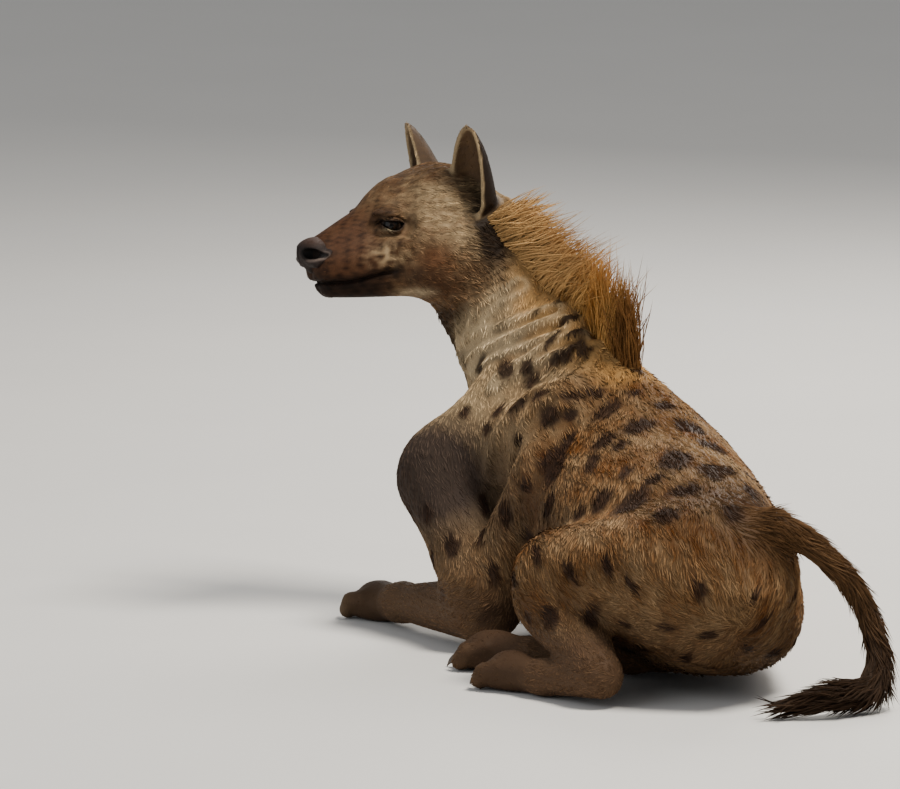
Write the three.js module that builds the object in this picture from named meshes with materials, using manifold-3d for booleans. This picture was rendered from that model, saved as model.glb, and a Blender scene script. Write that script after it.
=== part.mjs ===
import * as THREE from 'three';
import { mergeVertices } from 'three/addons/utils/BufferGeometryUtils.js';
import Module from 'manifold-3d';

// Spotted hyena lying on its chest and right hip, head up and turned to its left.
// Millimetres. X runs forward along the trunk, Y to the animal's left, Z up from the floor.

const wasm = await Module();
wasm.setup();

// Cell sizes of the faceted surface
const BODY_CELL = 42;
const SHANK_CELL = 26;
const FOOT_CELL = 16;
const HEAD_CELL = 18;
const MANE_CELL = 20;
const GAP = 0.3;
const ROUNDING = 0.01;
const FOLD_GAP = 0.05;

// Stations of the trunk and neck, each with the middle x, y, z, the half width,
// the height above, the depth below, the roll in degrees (left side up) and the arch of the top
const RUMP = [-520, 100, 163, 108, 112, 130, 36, 2.0];
const HIPS = [-440, 87, 163, 128, 133, 150, 33, 2.0];
const LOIN = [-360, 70, 167, 142, 150, 162, 27, 2.0];
const BELLY = [-250, 44, 176, 158, 163, 175, 18, 1.9];
const RIBS = [-140, 22, 185, 158, 188, 197, 9, 1.7];
const WITHERS = [-40, 8, 200, 136, 210, 216, 3, 1.5];
const BREAST = [50, 6, 225, 122, 220, 243, 0, 1.5];
const NECK_BASE = [125, 10, 262, 112, 224, 165, 0, 1.5];
const NECK_LOW = [186, 4, 332, 98, 200, 135, 0, 1.5];
const NECK_MID = [236, 8, 402, 90, 158, 116, 0, 1.5];
const NECK_HIGH = [272, 30, 470, 84, 122, 104, 0, 1.6];
const NAPE = [292, 68, 522, 78, 90, 90, 0, 1.8];
const SPINE = [RUMP, HIPS, LOIN, BELLY, RIBS, WITHERS, BREAST, NECK_BASE, NECK_LOW, NECK_MID, NECK_HIGH, NAPE];
const LOWER_POWER = 2.3;

// Crest of long hair, from behind the withers to the nape, with the same eight sizes
const MANE = [
  [-72, 0, 395, 12, 8, 30, 0, 1.6],
  [-56, 0, 402, 18, 62, 40, 0, 1.6],
  [-40, 0, 410, 21, 98, 40, 0, 1.6],
  [0, 0, 424, 23, 104, 40, 0, 1.6],
  [55, 0, 440, 24, 94, 40, 0, 1.6],
  [110, 2, 466, 24, 82, 40, 0, 1.6],
  [157, 6, 500, 23, 68, 35, 0, 1.6],
  [192, 16, 538, 20, 52, 30, 0, 1.6],
  [216, 36, 575, 15, 26, 25, 0, 1.6],
];

// Muscles and bones of the limbs as tapered capsules, each point with x, y, z and radius
const LEFT_BLADE = [[-30, 55, 325, 60], [175, 130, 222, 72]];
const LEFT_THROAT_MUSCLE = [[145, 66, 330, 58], [178, 132, 228, 70]];
const LEFT_UPPER_ARM = [[182, 152, 205, 74], [20, 180, 80, 52]];
const LEFT_TRICEPS = [[-40, 110, 250, 55], [10, 170, 90, 52]];
const LEFT_FOREARM = [[15, 180, 54, 50], [235, 190, 34, 28], [290, 189, 26, 26]];
const RIGHT_BLADE = [[-30, -40, 310, 56], [160, -112, 205, 70]];
const RIGHT_THROAT_MUSCLE = [[120, -50, 290, 55], [160, -115, 215, 66]];
const RIGHT_UPPER_ARM = [[165, -125, 195, 72], [10, -165, 80, 52]];
const RIGHT_TRICEPS = [[-40, -90, 220, 55], [0, -155, 90, 52]];
const RIGHT_FOREARM = [[5, -165, 54, 50], [225, -175, 34, 28], [280, -172, 26, 26]];
const LEFT_THIGH = [[-460, 150, 172, 98], [-270, 215, 150, 72]];
const LEFT_SHANK = [[-265, 225, 120, 64], [-455, 262, 52, 34]];
const LEFT_HOCK = [[-470, 262, 40, 32], [-360, 290, 26, 26], [-310, 300, 26, 26]];
const RIGHT_THIGH = [[-450, 40, 110, 95], [-265, -65, 85, 70]];
const RIGHT_HOCK = [[-280, 120, 35, 30], [-190, 215, 26, 26], [-150, 238, 26, 26]];
const BUTTOCK = { at: [-510, 105, 160], radii: [95, 108, 105] };

const TAIL = [
  [-550, 50, 240, 40],
  [-580, 12, 220, 31],
  [-608, -42, 160, 26],
  [-640, -62, 84, 27],
  [-668, -38, 34, 33],
  [-684, 24, 29, 31],
  [-672, 84, 18, 17],
];

// Paws, each with the x, y of its middle and its heading in degrees
const PAWS = {
  left_fore_paw: [300, 189, 0],
  right_fore_paw: [290, -172, 3],
  left_hind_paw: [-295, 302, 8],
  right_hind_paw: [-135, 246, 30],
};
const TOES = [-32, -11, 11, 32];
const CLAW_LENGTH = 15;
const CLAW_RADIUS = 4;

// Head: where the tip of the nose is, and the way the head points
const NOSE = new THREE.Vector3(342, 293, 512.6);
const HEAD_HEADING = 86;
const HEAD_ROLL = 6;
const EYE = { back: 121, out: 40.5, up: 27.5, radius: 14 };
const NOSE_PAD = { back: 21, up: -6, radii: [22, 26, 21] };
const NOSTRIL = { back: 2, out: 14, up: -5, radii: [11, 6, 6] };
const MOUTH = { front: [-4, -47], corner: [126, -32] };

const EAR = {
  root: [224.5, 74, 50],
  lean: [-0.2, 0.32, 1],
  turn: 16,
  height: 116,
  sunk: 35,
  halfWidth: 37,
  cup: 36,
  wall: 5,
};

const degrees = THREE.MathUtils.degToRad;

// Fields: the distance from a surface, below zero inside

function blend(a, b, soft) {
  const h = Math.max(soft - Math.abs(a - b), 0) / soft;
  return Math.min(a, b) - (h * h * soft) / 4;
}

function carve(a, b, soft) {
  return -blend(-a, -b, soft);
}

function capsule(x, y, z, a, b) {
  const dx = b[0] - a[0], dy = b[1] - a[1], dz = b[2] - a[2];
  const px = x - a[0], py = y - a[1], pz = z - a[2];
  const along = (px * dx + py * dy + pz * dz) / (dx * dx + dy * dy + dz * dz);
  const t = Math.min(Math.max(along, 0), 1);
  return Math.hypot(px - t * dx, py - t * dy, pz - t * dz) - (a[3] + (b[3] - a[3]) * t);
}

function chain(x, y, z, points, soft) {
  let d = capsule(x, y, z, points[0], points[1]);
  for (let i = 1; i < points.length - 1; i++) d = blend(d, capsule(x, y, z, points[i], points[i + 1]), soft);
  return d;
}

function ovoidField(x, y, z, at, r) {
  const px = x - at[0], py = y - at[1], pz = z - at[2];
  const k0 = Math.hypot(px / r[0], py / r[1], pz / r[2]);
  const k1 = Math.hypot(px / r[0] ** 2, py / r[1] ** 2, pz / r[2] ** 2);
  return (k0 * (k0 - 1)) / Math.max(k1, 1e-9);
}

// A smooth line through stations of any number of values
function through(stations, steps) {
  const first = stations[0], last = stations[stations.length - 1];
  const ends = [
    first.map((v, k) => 2 * v - stations[1][k]),
    ...stations,
    last.map((v, k) => 2 * v - stations[stations.length - 2][k]),
  ];
  const line = [];
  for (let i = 0; i < ends.length - 3; i++) {
    const [a, b, c, d] = ends.slice(i, i + 4);
    for (let j = 0; j < steps; j++) {
      const t = j / steps;
      line.push(b.map((v, k) => 0.5 * (2 * v + (c[k] - a[k]) * t
        + (2 * a[k] - 5 * v + 4 * c[k] - d[k]) * t * t
        + (3 * v - a[k] - 3 * c[k] + d[k]) * t ** 3)));
    }
  }
  line.push(last);
  return line;
}

// A body of changing oval section along a line of stations
function tube(stations, steps = 6) {
  const line = through(stations, steps);
  const rings = line.map((s, i) => {
    const before = line[Math.max(i - 1, 0)], after = line[Math.min(i + 1, line.length - 1)];
    const ahead = new THREE.Vector3(after[0] - before[0], after[1] - before[1], after[2] - before[2]);
    const inside = i > 0 && i < line.length - 1;
    const gap = ahead.length() / (inside ? 2 : 1);
    ahead.normalize();
    const side = new THREE.Vector3(0, 0, 1).cross(ahead).normalize();
    const up = ahead.clone().cross(side);
    const roll = degrees(s[6]);
    return [
      s[0], s[1], s[2], s[3], s[4], s[5], s[7], gap, ...ahead,
      ...side.clone().multiplyScalar(Math.cos(roll)).addScaledVector(up, Math.sin(roll)),
      ...up.clone().multiplyScalar(Math.cos(roll)).addScaledVector(side, -Math.sin(roll)),
    ];
  });
  const mixed = new Array(17);
  return (x, y, z) => {
    let best = 0, nearest = Infinity;
    for (let i = 0; i < rings.length; i++) {
      const r = rings[i];
      const d = (x - r[0]) ** 2 + (y - r[1]) ** 2 + (z - r[2]) ** 2;
      if (d < nearest) { nearest = d; best = i; }
    }
    const r = rings[best];
    const past = ((x - r[0]) * r[8] + (y - r[1]) * r[9] + (z - r[2]) * r[10]) / r[7];
    const u = Math.min(Math.max(best + past, 0), rings.length - 1);
    const i = Math.min(Math.floor(u), rings.length - 2);
    const f = u - i;
    for (let k = 0; k < 17; k++) mixed[k] = rings[i][k] * (1 - f) + rings[i + 1][k] * f;
    const px = x - mixed[0], py = y - mixed[1], pz = z - mixed[2];
    const dot = (k) => px * mixed[k] + py * mixed[k + 1] + pz * mixed[k + 2];
    const out = dot(11), high = dot(14), beyond = dot(8);
    const tall = high > 0 ? mixed[4] : mixed[5];
    const power = high > 0 ? mixed[6] : LOWER_POWER;
    const q = (Math.abs(out / mixed[3]) ** power + Math.abs(high / tall) ** power) ** (1 / power);
    const d = (q - 1) * Math.min(mixed[3], tall);
    return Math.hypot(Math.max(d, 0), beyond) + Math.min(d, 0);
  };
}

const spine = tube(SPINE);
const mane = tube(MANE);
const tailLine = through(TAIL, 3);

function tail(x, y, z) {
  let d = Infinity;
  for (let i = 0; i < tailLine.length - 1; i++) d = Math.min(d, capsule(x, y, z, tailLine[i], tailLine[i + 1]));
  return d;
}

function foreleg(x, y, z, blade, throat, arm, triceps, forearm) {
  let d = blend(chain(x, y, z, blade, 30), chain(x, y, z, throat, 30), 40);
  d = blend(d, chain(x, y, z, arm, 30), 40);
  d = blend(d, chain(x, y, z, triceps, 30), 40);
  return blend(d, chain(x, y, z, forearm, 20), 20);
}

function paw(x, y, z, [atX, atY, heading]) {
  const c = Math.cos(degrees(heading)), s = Math.sin(degrees(heading));
  const ahead = (x - atX) * c + (y - atY) * s;
  const left = (y - atY) * c - (x - atX) * s;
  let d = ovoidField(ahead, left, z, [6, 0, 26], [42, 34, 30]);
  TOES.forEach((lateral, k) => {
    const reach = k === 1 || k === 2 ? 40 : 28;
    d = blend(d, capsule(ahead, left, z, [reach - 20, lateral * 0.8, 26, 15], [reach, lateral, 16, 14.5]), 6);
  });
  return d;
}

function limbs(x, y, z) {
  let d = foreleg(x, y, z, LEFT_BLADE, LEFT_THROAT_MUSCLE, LEFT_UPPER_ARM, LEFT_TRICEPS, LEFT_FOREARM);
  d = Math.min(d, foreleg(x, y, z, RIGHT_BLADE, RIGHT_THROAT_MUSCLE, RIGHT_UPPER_ARM, RIGHT_TRICEPS, RIGHT_FOREARM));
  const left = blend(chain(x, y, z, LEFT_THIGH, 30), chain(x, y, z, LEFT_SHANK, 30), 30);
  d = Math.min(d, blend(left, chain(x, y, z, LEFT_HOCK, 15), 15));
  d = Math.min(d, blend(chain(x, y, z, RIGHT_THIGH, 30), chain(x, y, z, RIGHT_HOCK, 15), 30));
  for (const place of Object.values(PAWS)) d = blend(d, paw(x, y, z, place), 12);
  return d;
}

const headAhead = new THREE.Vector3(Math.cos(degrees(HEAD_HEADING)), Math.sin(degrees(HEAD_HEADING)), 0);
const headLeft = new THREE.Vector3(-headAhead.y, headAhead.x, 0);
const headUp = new THREE.Vector3(0, 0, 1);
const tilt = new THREE.Quaternion().setFromAxisAngle(headAhead, degrees(HEAD_ROLL));
headLeft.applyQuaternion(tilt);
headUp.applyQuaternion(tilt);

// A point of the head given by the distance back from the nose, to the left and up
function headPoint(back, left, up) {
  return NOSE.clone().addScaledVector(headAhead, -back).addScaledVector(headLeft, left).addScaledVector(headUp, up);
}

function head(x, y, z) {
  const px = x - NOSE.x, py = y - NOSE.y, pz = z - NOSE.z;
  const back = -(px * headAhead.x + py * headAhead.y + pz * headAhead.z);
  const out = Math.abs(px * headLeft.x + py * headLeft.y + pz * headLeft.z);
  const up = px * headUp.x + py * headUp.y + pz * headUp.z;
  const ball = (at, radii) => ovoidField(back, out, up, at, radii);
  const rod = (a, b) => capsule(back, out, up, a, b);
  const braincase = ball([215, 0, 36], [88, 70, 70]);
  const forehead = rod([151, 0, 53, 43], [200, 0, 53, 57]);
  const bridge = rod([40, 0, -4, 26.5], [118, 0, 24, 40]);
  const upperLip = rod([39, 12, -26, 24.5], [125, 30, -14, 36]);
  const jaw = rod([44, 4, -53, 18], [190, 45, -44, 36]);
  const cheek = ball([195, 58, -10], [60, 36, 62]);
  const cheekbone = rod([135, 50, 10, 18], [215, 78, 16, 22]);
  const temple = ball([215, 42, 54], [62, 42, 50]);
  const brow = ball([120, 40, 44], [28, 14, 10]);
  const socket = ball([120, 62, 28], [19, 14, 11]);
  let d = blend(braincase, forehead, 30);
  d = blend(d, bridge, 35);
  d = blend(d, upperLip, 20);
  d = blend(d, jaw, 20);
  d = blend(d, cheek, 30);
  d = blend(d, cheekbone, 30);
  d = blend(d, temple, 30);
  d = blend(d, brow, 12);
  return carve(d, -socket, 8);
}

function flesh(x, y, z) {
  let d = spine(x, y, z);
  d = blend(d, ovoidField(x, y, z, BUTTOCK.at, BUTTOCK.radii), 40);
  d = blend(d, limbs(x, y, z), 30);
  d = blend(d, tail(x, y, z), 30);
  return blend(d, head(x, y, z), 35);
}

// The faceted surface of a field inside a box, one vertex in each cell the surface crosses
function faceted(field, low, high, cell) {
  const n = low.map((v, k) => Math.ceil((high[k] - v) / cell) + 1);
  const at = (i, j, k) => (i * n[1] + j) * n[2] + k;
  const value = new Float64Array(n[0] * n[1] * n[2]);
  for (let i = 0; i < n[0]; i++) for (let j = 0; j < n[1]; j++) for (let k = 0; k < n[2]; k++) {
    const edge = i === 0 || j === 0 || k === 0 || i === n[0] - 1 || j === n[1] - 1 || k === n[2] - 1;
    const d = field(low[0] + i * cell, low[1] + j * cell, low[2] + k * cell);
    value[at(i, j, k)] = edge ? Math.max(d, cell / 2) : d;
  }
  const index = new Int32Array(value.length).fill(-1);
  const position = [];
  const corner = [0, 0, 0];
  for (corner[0] = 0; corner[0] < n[0] - 1; corner[0]++)
    for (corner[1] = 0; corner[1] < n[1] - 1; corner[1]++)
      for (corner[2] = 0; corner[2] < n[2] - 1; corner[2]++) {
        const sum = [0, 0, 0];
        let crossings = 0;
        for (let axis = 0; axis < 3; axis++) for (let a = 0; a < 2; a++) for (let b = 0; b < 2; b++) {
          const p = [0, 0, 0];
          p[(axis + 1) % 3] = a;
          p[(axis + 2) % 3] = b;
          const v0 = value[at(corner[0] + p[0], corner[1] + p[1], corner[2] + p[2])];
          p[axis] = 1;
          const v1 = value[at(corner[0] + p[0], corner[1] + p[1], corner[2] + p[2])];
          if (v0 < 0 === v1 < 0) continue;
          p[axis] = v0 / (v0 - v1);
          for (let m = 0; m < 3; m++) sum[m] += p[m];
          crossings++;
        }
        if (!crossings) continue;
        index[at(...corner)] = position.length / 3;
        for (let m = 0; m < 3; m++) position.push(low[m] + (corner[m] + sum[m] / crossings) * cell);
      }
  const faces = [];
  const point = (v) => new THREE.Vector3().fromArray(position, v * 3);
  for (let i = 0; i < n[0] - 1; i++) for (let j = 0; j < n[1] - 1; j++) for (let k = 0; k < n[2] - 1; k++) {
    const start = [i, j, k];
    for (let axis = 0; axis < 3; axis++) {
      const a = (axis + 1) % 3, b = (axis + 2) % 3;
      if (start[a] === 0 || start[b] === 0) continue;
      const end = [...start];
      end[axis]++;
      const inside = value[at(...start)] < 0;
      if (inside === value[at(...end)] < 0) continue;
      const around = [[1, 1], [0, 1], [0, 0], [1, 0]].map(([da, db]) => {
        const c = [...start];
        c[a] -= da;
        c[b] -= db;
        return index[at(...c)];
      });
      if (!inside) around.reverse();
      const [p, q, r, s] = around;
      const shorter = point(p).distanceTo(point(r)) <= point(q).distanceTo(point(s));
      faces.push(...(shorter ? [p, q, r, p, r, s] : [p, q, s, q, r, s]));
    }
  }
  return new wasm.Mesh({
    numProp: 3,
    vertProperties: new Float32Array(position),
    triVerts: new Uint32Array(faces),
  });
}

// The same facets with each vertex moved outwards by a clearance
function grown(mesh, clearance) {
  const geometry = new THREE.BufferGeometry();
  geometry.setAttribute('position', new THREE.BufferAttribute(mesh.vertProperties, 3));
  geometry.setIndex(new THREE.BufferAttribute(mesh.triVerts, 1));
  geometry.computeVertexNormals();
  const normal = geometry.attributes.normal.array;
  const moved = mesh.vertProperties.map((v, i) => v + clearance * normal[i]);
  return new wasm.Manifold(new wasm.Mesh({ numProp: 3, vertProperties: moved, triVerts: mesh.triVerts }));
}

function solid(geometry) {
  const bare = geometry.clone();
  for (const name of ['normal', 'uv']) bare.deleteAttribute(name);
  const welded = mergeVertices(bare, 1e-4);
  return new wasm.Manifold(new wasm.Mesh({
    numProp: 3,
    vertProperties: new Float32Array(welded.attributes.position.array),
    triVerts: new Uint32Array(welded.index.array),
  }));
}

// Region makers: each returns a function of the clearance the region is grown by

function block(at, size, turn = [0, 0, 0]) {
  return (clearance) => solid(new THREE.BoxGeometry(...size.map((v) => v + 2 * clearance))
    .applyMatrix4(new THREE.Matrix4().compose(
      new THREE.Vector3(...at),
      new THREE.Quaternion().setFromEuler(new THREE.Euler(...turn.map(degrees), 'ZYX')),
      new THREE.Vector3(1, 1, 1),
    )));
}

function beyond(at, towards, reach = 900) {
  const way = new THREE.Vector3(...towards).normalize();
  const turned = new THREE.Quaternion().setFromUnitVectors(new THREE.Vector3(1, 0, 0), way);
  return (clearance) => solid(new THREE.BoxGeometry(reach, reach, reach)
    .translate(reach / 2 - clearance, 0, 0)
    .applyQuaternion(turned)
    .translate(...at));
}

function ovoid(at, radii, turn = [0, 0, 0], detail = 2) {
  return (clearance) => solid(new THREE.IcosahedronGeometry(1, detail)
    .scale(...radii.map((r) => r + clearance))
    .applyQuaternion(new THREE.Quaternion().setFromEuler(new THREE.Euler(...turn.map(degrees), 'ZYX')))
    .translate(...at));
}

function headOvoid(back, left, up, radii, detail) {
  const turned = new THREE.Quaternion().setFromRotationMatrix(
    new THREE.Matrix4().makeBasis(headAhead, headLeft, headUp),
  );
  const at = headPoint(back, left, up);
  return (clearance) => solid(new THREE.IcosahedronGeometry(1, detail)
    .scale(...radii.map((r) => r + clearance))
    .applyQuaternion(turned)
    .translate(...at));
}

function claw(place, k) {
  const [x, y, heading] = place;
  const reach = k === 1 || k === 2 ? 49 : 37;
  return (clearance) => solid(new THREE.ConeGeometry(CLAW_RADIUS + clearance, CLAW_LENGTH + 2 * clearance, 8)
    .rotateZ(degrees(-112))
    .scale(1, 1.15, 1)
    .rotateX(degrees(90))
    .translate(reach + 4, TOES[k] * 1.04, 13)
    .rotateZ(degrees(heading))
    .translate(x, y, 0));
}

// The ear: two sheets around a half oval, joined along the rim
function ear(sign) {
  const lift = new THREE.Vector3(...EAR.lean).normalize();
  const face = new THREE.Vector3(-Math.cos(degrees(EAR.turn)), Math.sin(degrees(EAR.turn)), 0);
  face.addScaledVector(lift, -face.dot(lift)).normalize();
  const side = lift.clone().cross(face);
  const root = new THREE.Vector3(...EAR.root);
  const rows = 8, columns = 9;
  const position = [];
  for (const sheet of [1, -1]) for (let i = 0; i <= rows; i++) for (let j = 0; j <= columns; j++) {
    const t = 0.985 * Math.sin((Math.PI / 2) * (i / rows));
    const foot = 0.35 + 0.65 * THREE.MathUtils.smoothstep(t, 0, 0.3);
    const width = EAR.halfWidth * Math.sqrt(1 - t ** 2.8) * 0.93 * foot;
    const depth = EAR.cup * Math.sqrt(1 - t ** 2.2);
    const open = Math.asin(THREE.MathUtils.clamp((12 - 22 * t) / depth, -0.8, 0.6));
    const angle = -open + (Math.PI + 2 * open) * (j / columns) + Math.PI;
    const thick = (sheet * EAR.wall) / 2;
    const p = root.clone()
      .addScaledVector(lift, -EAR.sunk + t * (EAR.height + EAR.sunk))
      .addScaledVector(side, (width + thick) * Math.cos(angle))
      .addScaledVector(face, (depth + thick) * Math.sin(angle));
    const q = headPoint(p.x, sign * p.y, p.z);
    position.push(q.x, q.y, q.z);
  }
  const at = (sheet, i, j) => (sheet * (rows + 1) + i) * (columns + 1) + j;
  const faces = [];
  const quad = (a, b, c, d) => faces.push(a, b, c, a, c, d);
  for (let i = 0; i < rows; i++) for (let j = 0; j < columns; j++) {
    quad(at(0, i, j), at(0, i, j + 1), at(0, i + 1, j + 1), at(0, i + 1, j));
    quad(at(1, i, j), at(1, i + 1, j), at(1, i + 1, j + 1), at(1, i, j + 1));
  }
  for (let i = 0; i < rows; i++) {
    quad(at(0, i, 0), at(0, i + 1, 0), at(1, i + 1, 0), at(1, i, 0));
    quad(at(0, i, columns), at(1, i, columns), at(1, i + 1, columns), at(0, i + 1, columns));
  }
  for (let j = 0; j < columns; j++) {
    quad(at(0, 0, j), at(1, 0, j), at(1, 0, j + 1), at(0, 0, j + 1));
    quad(at(0, rows, j), at(0, rows, j + 1), at(1, rows, j + 1), at(1, rows, j));
  }
  const geometry = new THREE.BufferGeometry();
  geometry.setAttribute('position', new THREE.Float32BufferAttribute(position, 3));
  geometry.setIndex(faces);
  const shell = solid(geometry);
  if (shell.volume() > 0) return shell;
  for (let i = 0; i < faces.length; i += 3) [faces[i], faces[i + 1]] = [faces[i + 1], faces[i]];
  geometry.setIndex(faces);
  return solid(geometry);
}

// Regions that part the body into its named pieces
const aheadOfNape = beyond(headPoint(238, 0, 0).toArray(), headAhead.clone().addScaledVector(headUp, 0.24).toArray());
const aboveThroat = beyond([0, 0, 386], [0, 0, 1]);
const region = {
  head: (clearance) => aheadOfNape(clearance).intersect(aboveThroat(clearance)),
  neck: beyond([118, 0, 300], [0.877, 0, 0.48]),
  leftArm: ovoid([95, 196, 156], [146, 104, 98], [0, 38, 0]),
  rightArm: ovoid([88, -176, 148], [142, 104, 94], [0, 38, 0]),
  leftForearm: block([240, 190, 30], [420, 150, 128], [0, 4, 0]),
  rightForearm: block([232, -178, 30], [420, 150, 128], [0, 4, 0]),
  leftForePaw: block([355, 189, 40], [180, 150, 160]),
  rightForePaw: block([345, -172, 40], [180, 150, 160]),
  leftThigh: ovoid([-365, 190, 158], [175, 108, 112], [0, 0, 18]),
  leftShank: ovoid([-372, 262, 82], [150, 62, 62], [0, -20, -10]),
  leftFoot: block([-350, 300, 5], [250, 110, 118], [0, 0, 14]),
  leftHindPaw: block([-250, 315, 0], [130, 120, 124], [0, 0, 8]),
  rightThigh: ovoid([-360, -25, 92], [178, 102, 104], [0, 0, -28]),
  rightHindPaw: block([-98, 272, 5], [168, 190, 110], [0, 0, 32]),
  tail: null,
  chest: beyond([-150, 0, 0], [1, 0, 0]),
  rump: beyond([-405, 0, 0], [-1, 0, 0]),
  floor: beyond([0, 0, 0], [0, 0, -1], 2000),
  jaw: null,
};

// Lower jaw: below the line of the mouth and ahead of its corner
const mouthLine = new THREE.Vector2(MOUTH.corner[0] - MOUTH.front[0], MOUTH.corner[1] - MOUTH.front[1]).normalize();
const belowMouth = beyond(
  headPoint(MOUTH.corner[0], 0, MOUTH.corner[1]).toArray(),
  headUp.clone().multiplyScalar(-mouthLine.x).addScaledVector(headAhead, -mouthLine.y).toArray(),
);
const aheadOfCorner = beyond(
  headPoint(MOUTH.corner[0], 0, MOUTH.corner[1]).toArray(),
  headAhead.clone().addScaledVector(headUp, 0.25).toArray(),
);
const pastRump = beyond([-566, 26, 226], [-0.72, -0.66, -0.2]);
const behind = block([-640, -10, 130], [240, 320, 420]);
region.tail = (clearance) => pastRump(clearance).intersect(behind(clearance));
region.jaw = (clearance) => belowMouth(clearance).intersect(aheadOfCorner(clearance));

// Vertices rounded to a fine grid, with the shortest edges closed up. Where two folds of
// the surface meet in one place, each is drawn back into its own side.
function tidied(mesh) {
  const count = mesh.vertProperties.length / 3;
  const at = Array.from(mesh.vertProperties, (v) => Math.round(v / ROUNDING) * ROUNDING);
  const place = (v) => [0, 1, 2].map((k) => at[3 * v + k].toFixed(3)).join();
  const leader = Array.from({ length: count }, (_, i) => i);
  const find = (i) => {
    while (leader[i] !== i) i = leader[i] = leader[leader[i]];
    return i;
  };
  const corners = [];
  for (let i = 0; i < mesh.triVerts.length; i += 3) corners.push([...mesh.triVerts.slice(i, i + 3)]);
  for (const face of corners) face.forEach((v, k) => {
    const next = face[(k + 1) % 3];
    if (place(v) === place(next)) leader[find(v)] = find(next);
  });
  const open = new Map();
  for (const face of corners.map((f) => f.map(find))) {
    if (new Set(face).size < 3) continue;
    const key = [...face].sort((a, b) => a - b).join();
    if (open.has(key)) open.delete(key);
    else open.set(key, face);
  }
  const faces = [...open.values()];
  const geometry = new THREE.BufferGeometry();
  geometry.setAttribute('position', new THREE.Float32BufferAttribute(at, 3));
  geometry.setIndex(faces.flat());
  geometry.computeVertexNormals();
  const normal = geometry.attributes.normal.array;
  const sharing = new Map();
  for (const v of new Set(faces.flat())) sharing.set(place(v), [...(sharing.get(place(v)) || []), v]);
  for (const folds of sharing.values()) {
    if (folds.length < 2) continue;
    for (const v of folds) for (let k = 0; k < 3; k++) at[3 * v + k] -= FOLD_GAP * normal[3 * v + k];
  }
  return { at, faces };
}

// The largest closed piece of a cut body, without the slivers a cut can leave
function whole(body) {
  const { at, faces } = tidied(body.getMesh());
  const leader = faces.map((_, i) => i);
  const find = (i) => {
    while (leader[i] !== i) i = leader[i] = leader[leader[i]];
    return i;
  };
  const edges = new Map();
  faces.forEach((face, i) => face.forEach((v, k) => {
    const next = face[(k + 1) % 3];
    const key = `${Math.min(v, next)},${Math.max(v, next)}`;
    edges.set(key, [...(edges.get(key) || []), i]);
  }));
  for (const sharing of edges.values()) {
    if (sharing.length === 2) leader[find(sharing[0])] = find(sharing[1]);
  }
  const volume = new Map();
  const corner = (v) => new THREE.Vector3().fromArray(at, v * 3);
  faces.forEach(([a, b, c], i) => {
    const key = find(i);
    volume.set(key, (volume.get(key) || 0) + corner(a).dot(corner(b).cross(corner(c))));
  });
  const main = [...volume].sort((a, b) => b[1] - a[1])[0][0];
  return { at, faces: faces.filter((_, i) => find(i) === main) };
}

const group = new THREE.Group();

function add(name, colour, roughness, body) {
  const { at, faces } = whole(body);
  const geometry = new THREE.BufferGeometry();
  geometry.setAttribute('position', new THREE.Float32BufferAttribute(at, 3));
  geometry.setIndex(faces.flat());
  const made = new THREE.Mesh(geometry, new THREE.MeshStandardMaterial({ color: colour, roughness, metalness: 0 }));
  made.name = name;
  group.add(made);
}

const COAT = 0x9a7a55;
const DARK_COAT = 0x5d4835;
const GOLD_HAIR = 0xb98243;
const EAR_SKIN = 0x6e5c4b;
const HORN = 0x2a241f;

const surfaces = {
  trunk: faceted(flesh, [-760, -330, -65], [430, 420, 660], BODY_CELL),
  head: faceted(flesh, [190, -60, 380], [470, 310, 650], HEAD_CELL),
  forearms: faceted(flesh, [-60, -260, -30], [320, 290, 140], SHANK_CELL),
  shanks: faceted(flesh, [-540, 130, -30], [-120, 370, 200], SHANK_CELL),
  tail: faceted(flesh, [-748, -170, -30], [-500, 150, 300], SHANK_CELL),
};

// A piece of one of the surfaces: the part inside some regions and outside others
function piece(surface, inside, outside) {
  let body = new wasm.Manifold(surfaces[surface]);
  for (const name of inside) body = body.intersect(region[name](0));
  for (const name of outside) body = body.subtract(region[name](GAP));
  return body.subtract(region.floor(0));
}

const maneSurface = faceted(mane, [-150, -60, 330], [270, 90, 640], MANE_CELL);
const maneCut = grown(maneSurface, 2 * GAP);
const eyes = { left: headOvoid(EYE.back, EYE.out, EYE.up, [EYE.radius, EYE.radius, EYE.radius], 2),
  right: headOvoid(EYE.back, -EYE.out, EYE.up, [EYE.radius, EYE.radius, EYE.radius], 2) };
const nosePad = headOvoid(NOSE_PAD.back, 0, NOSE_PAD.up, NOSE_PAD.radii, 1);
const nostril = (sign) => headOvoid(NOSTRIL.back, sign * NOSTRIL.out, NOSTRIL.up, NOSTRIL.radii, 1)(0);

const skull = piece('head', ['head'], [])
  .subtract(maneCut)
  .subtract(eyes.left(GAP))
  .subtract(eyes.right(GAP))
  .subtract(nosePad(GAP));
const earCut = grown(surfaces.head, 2 * GAP);

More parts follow.
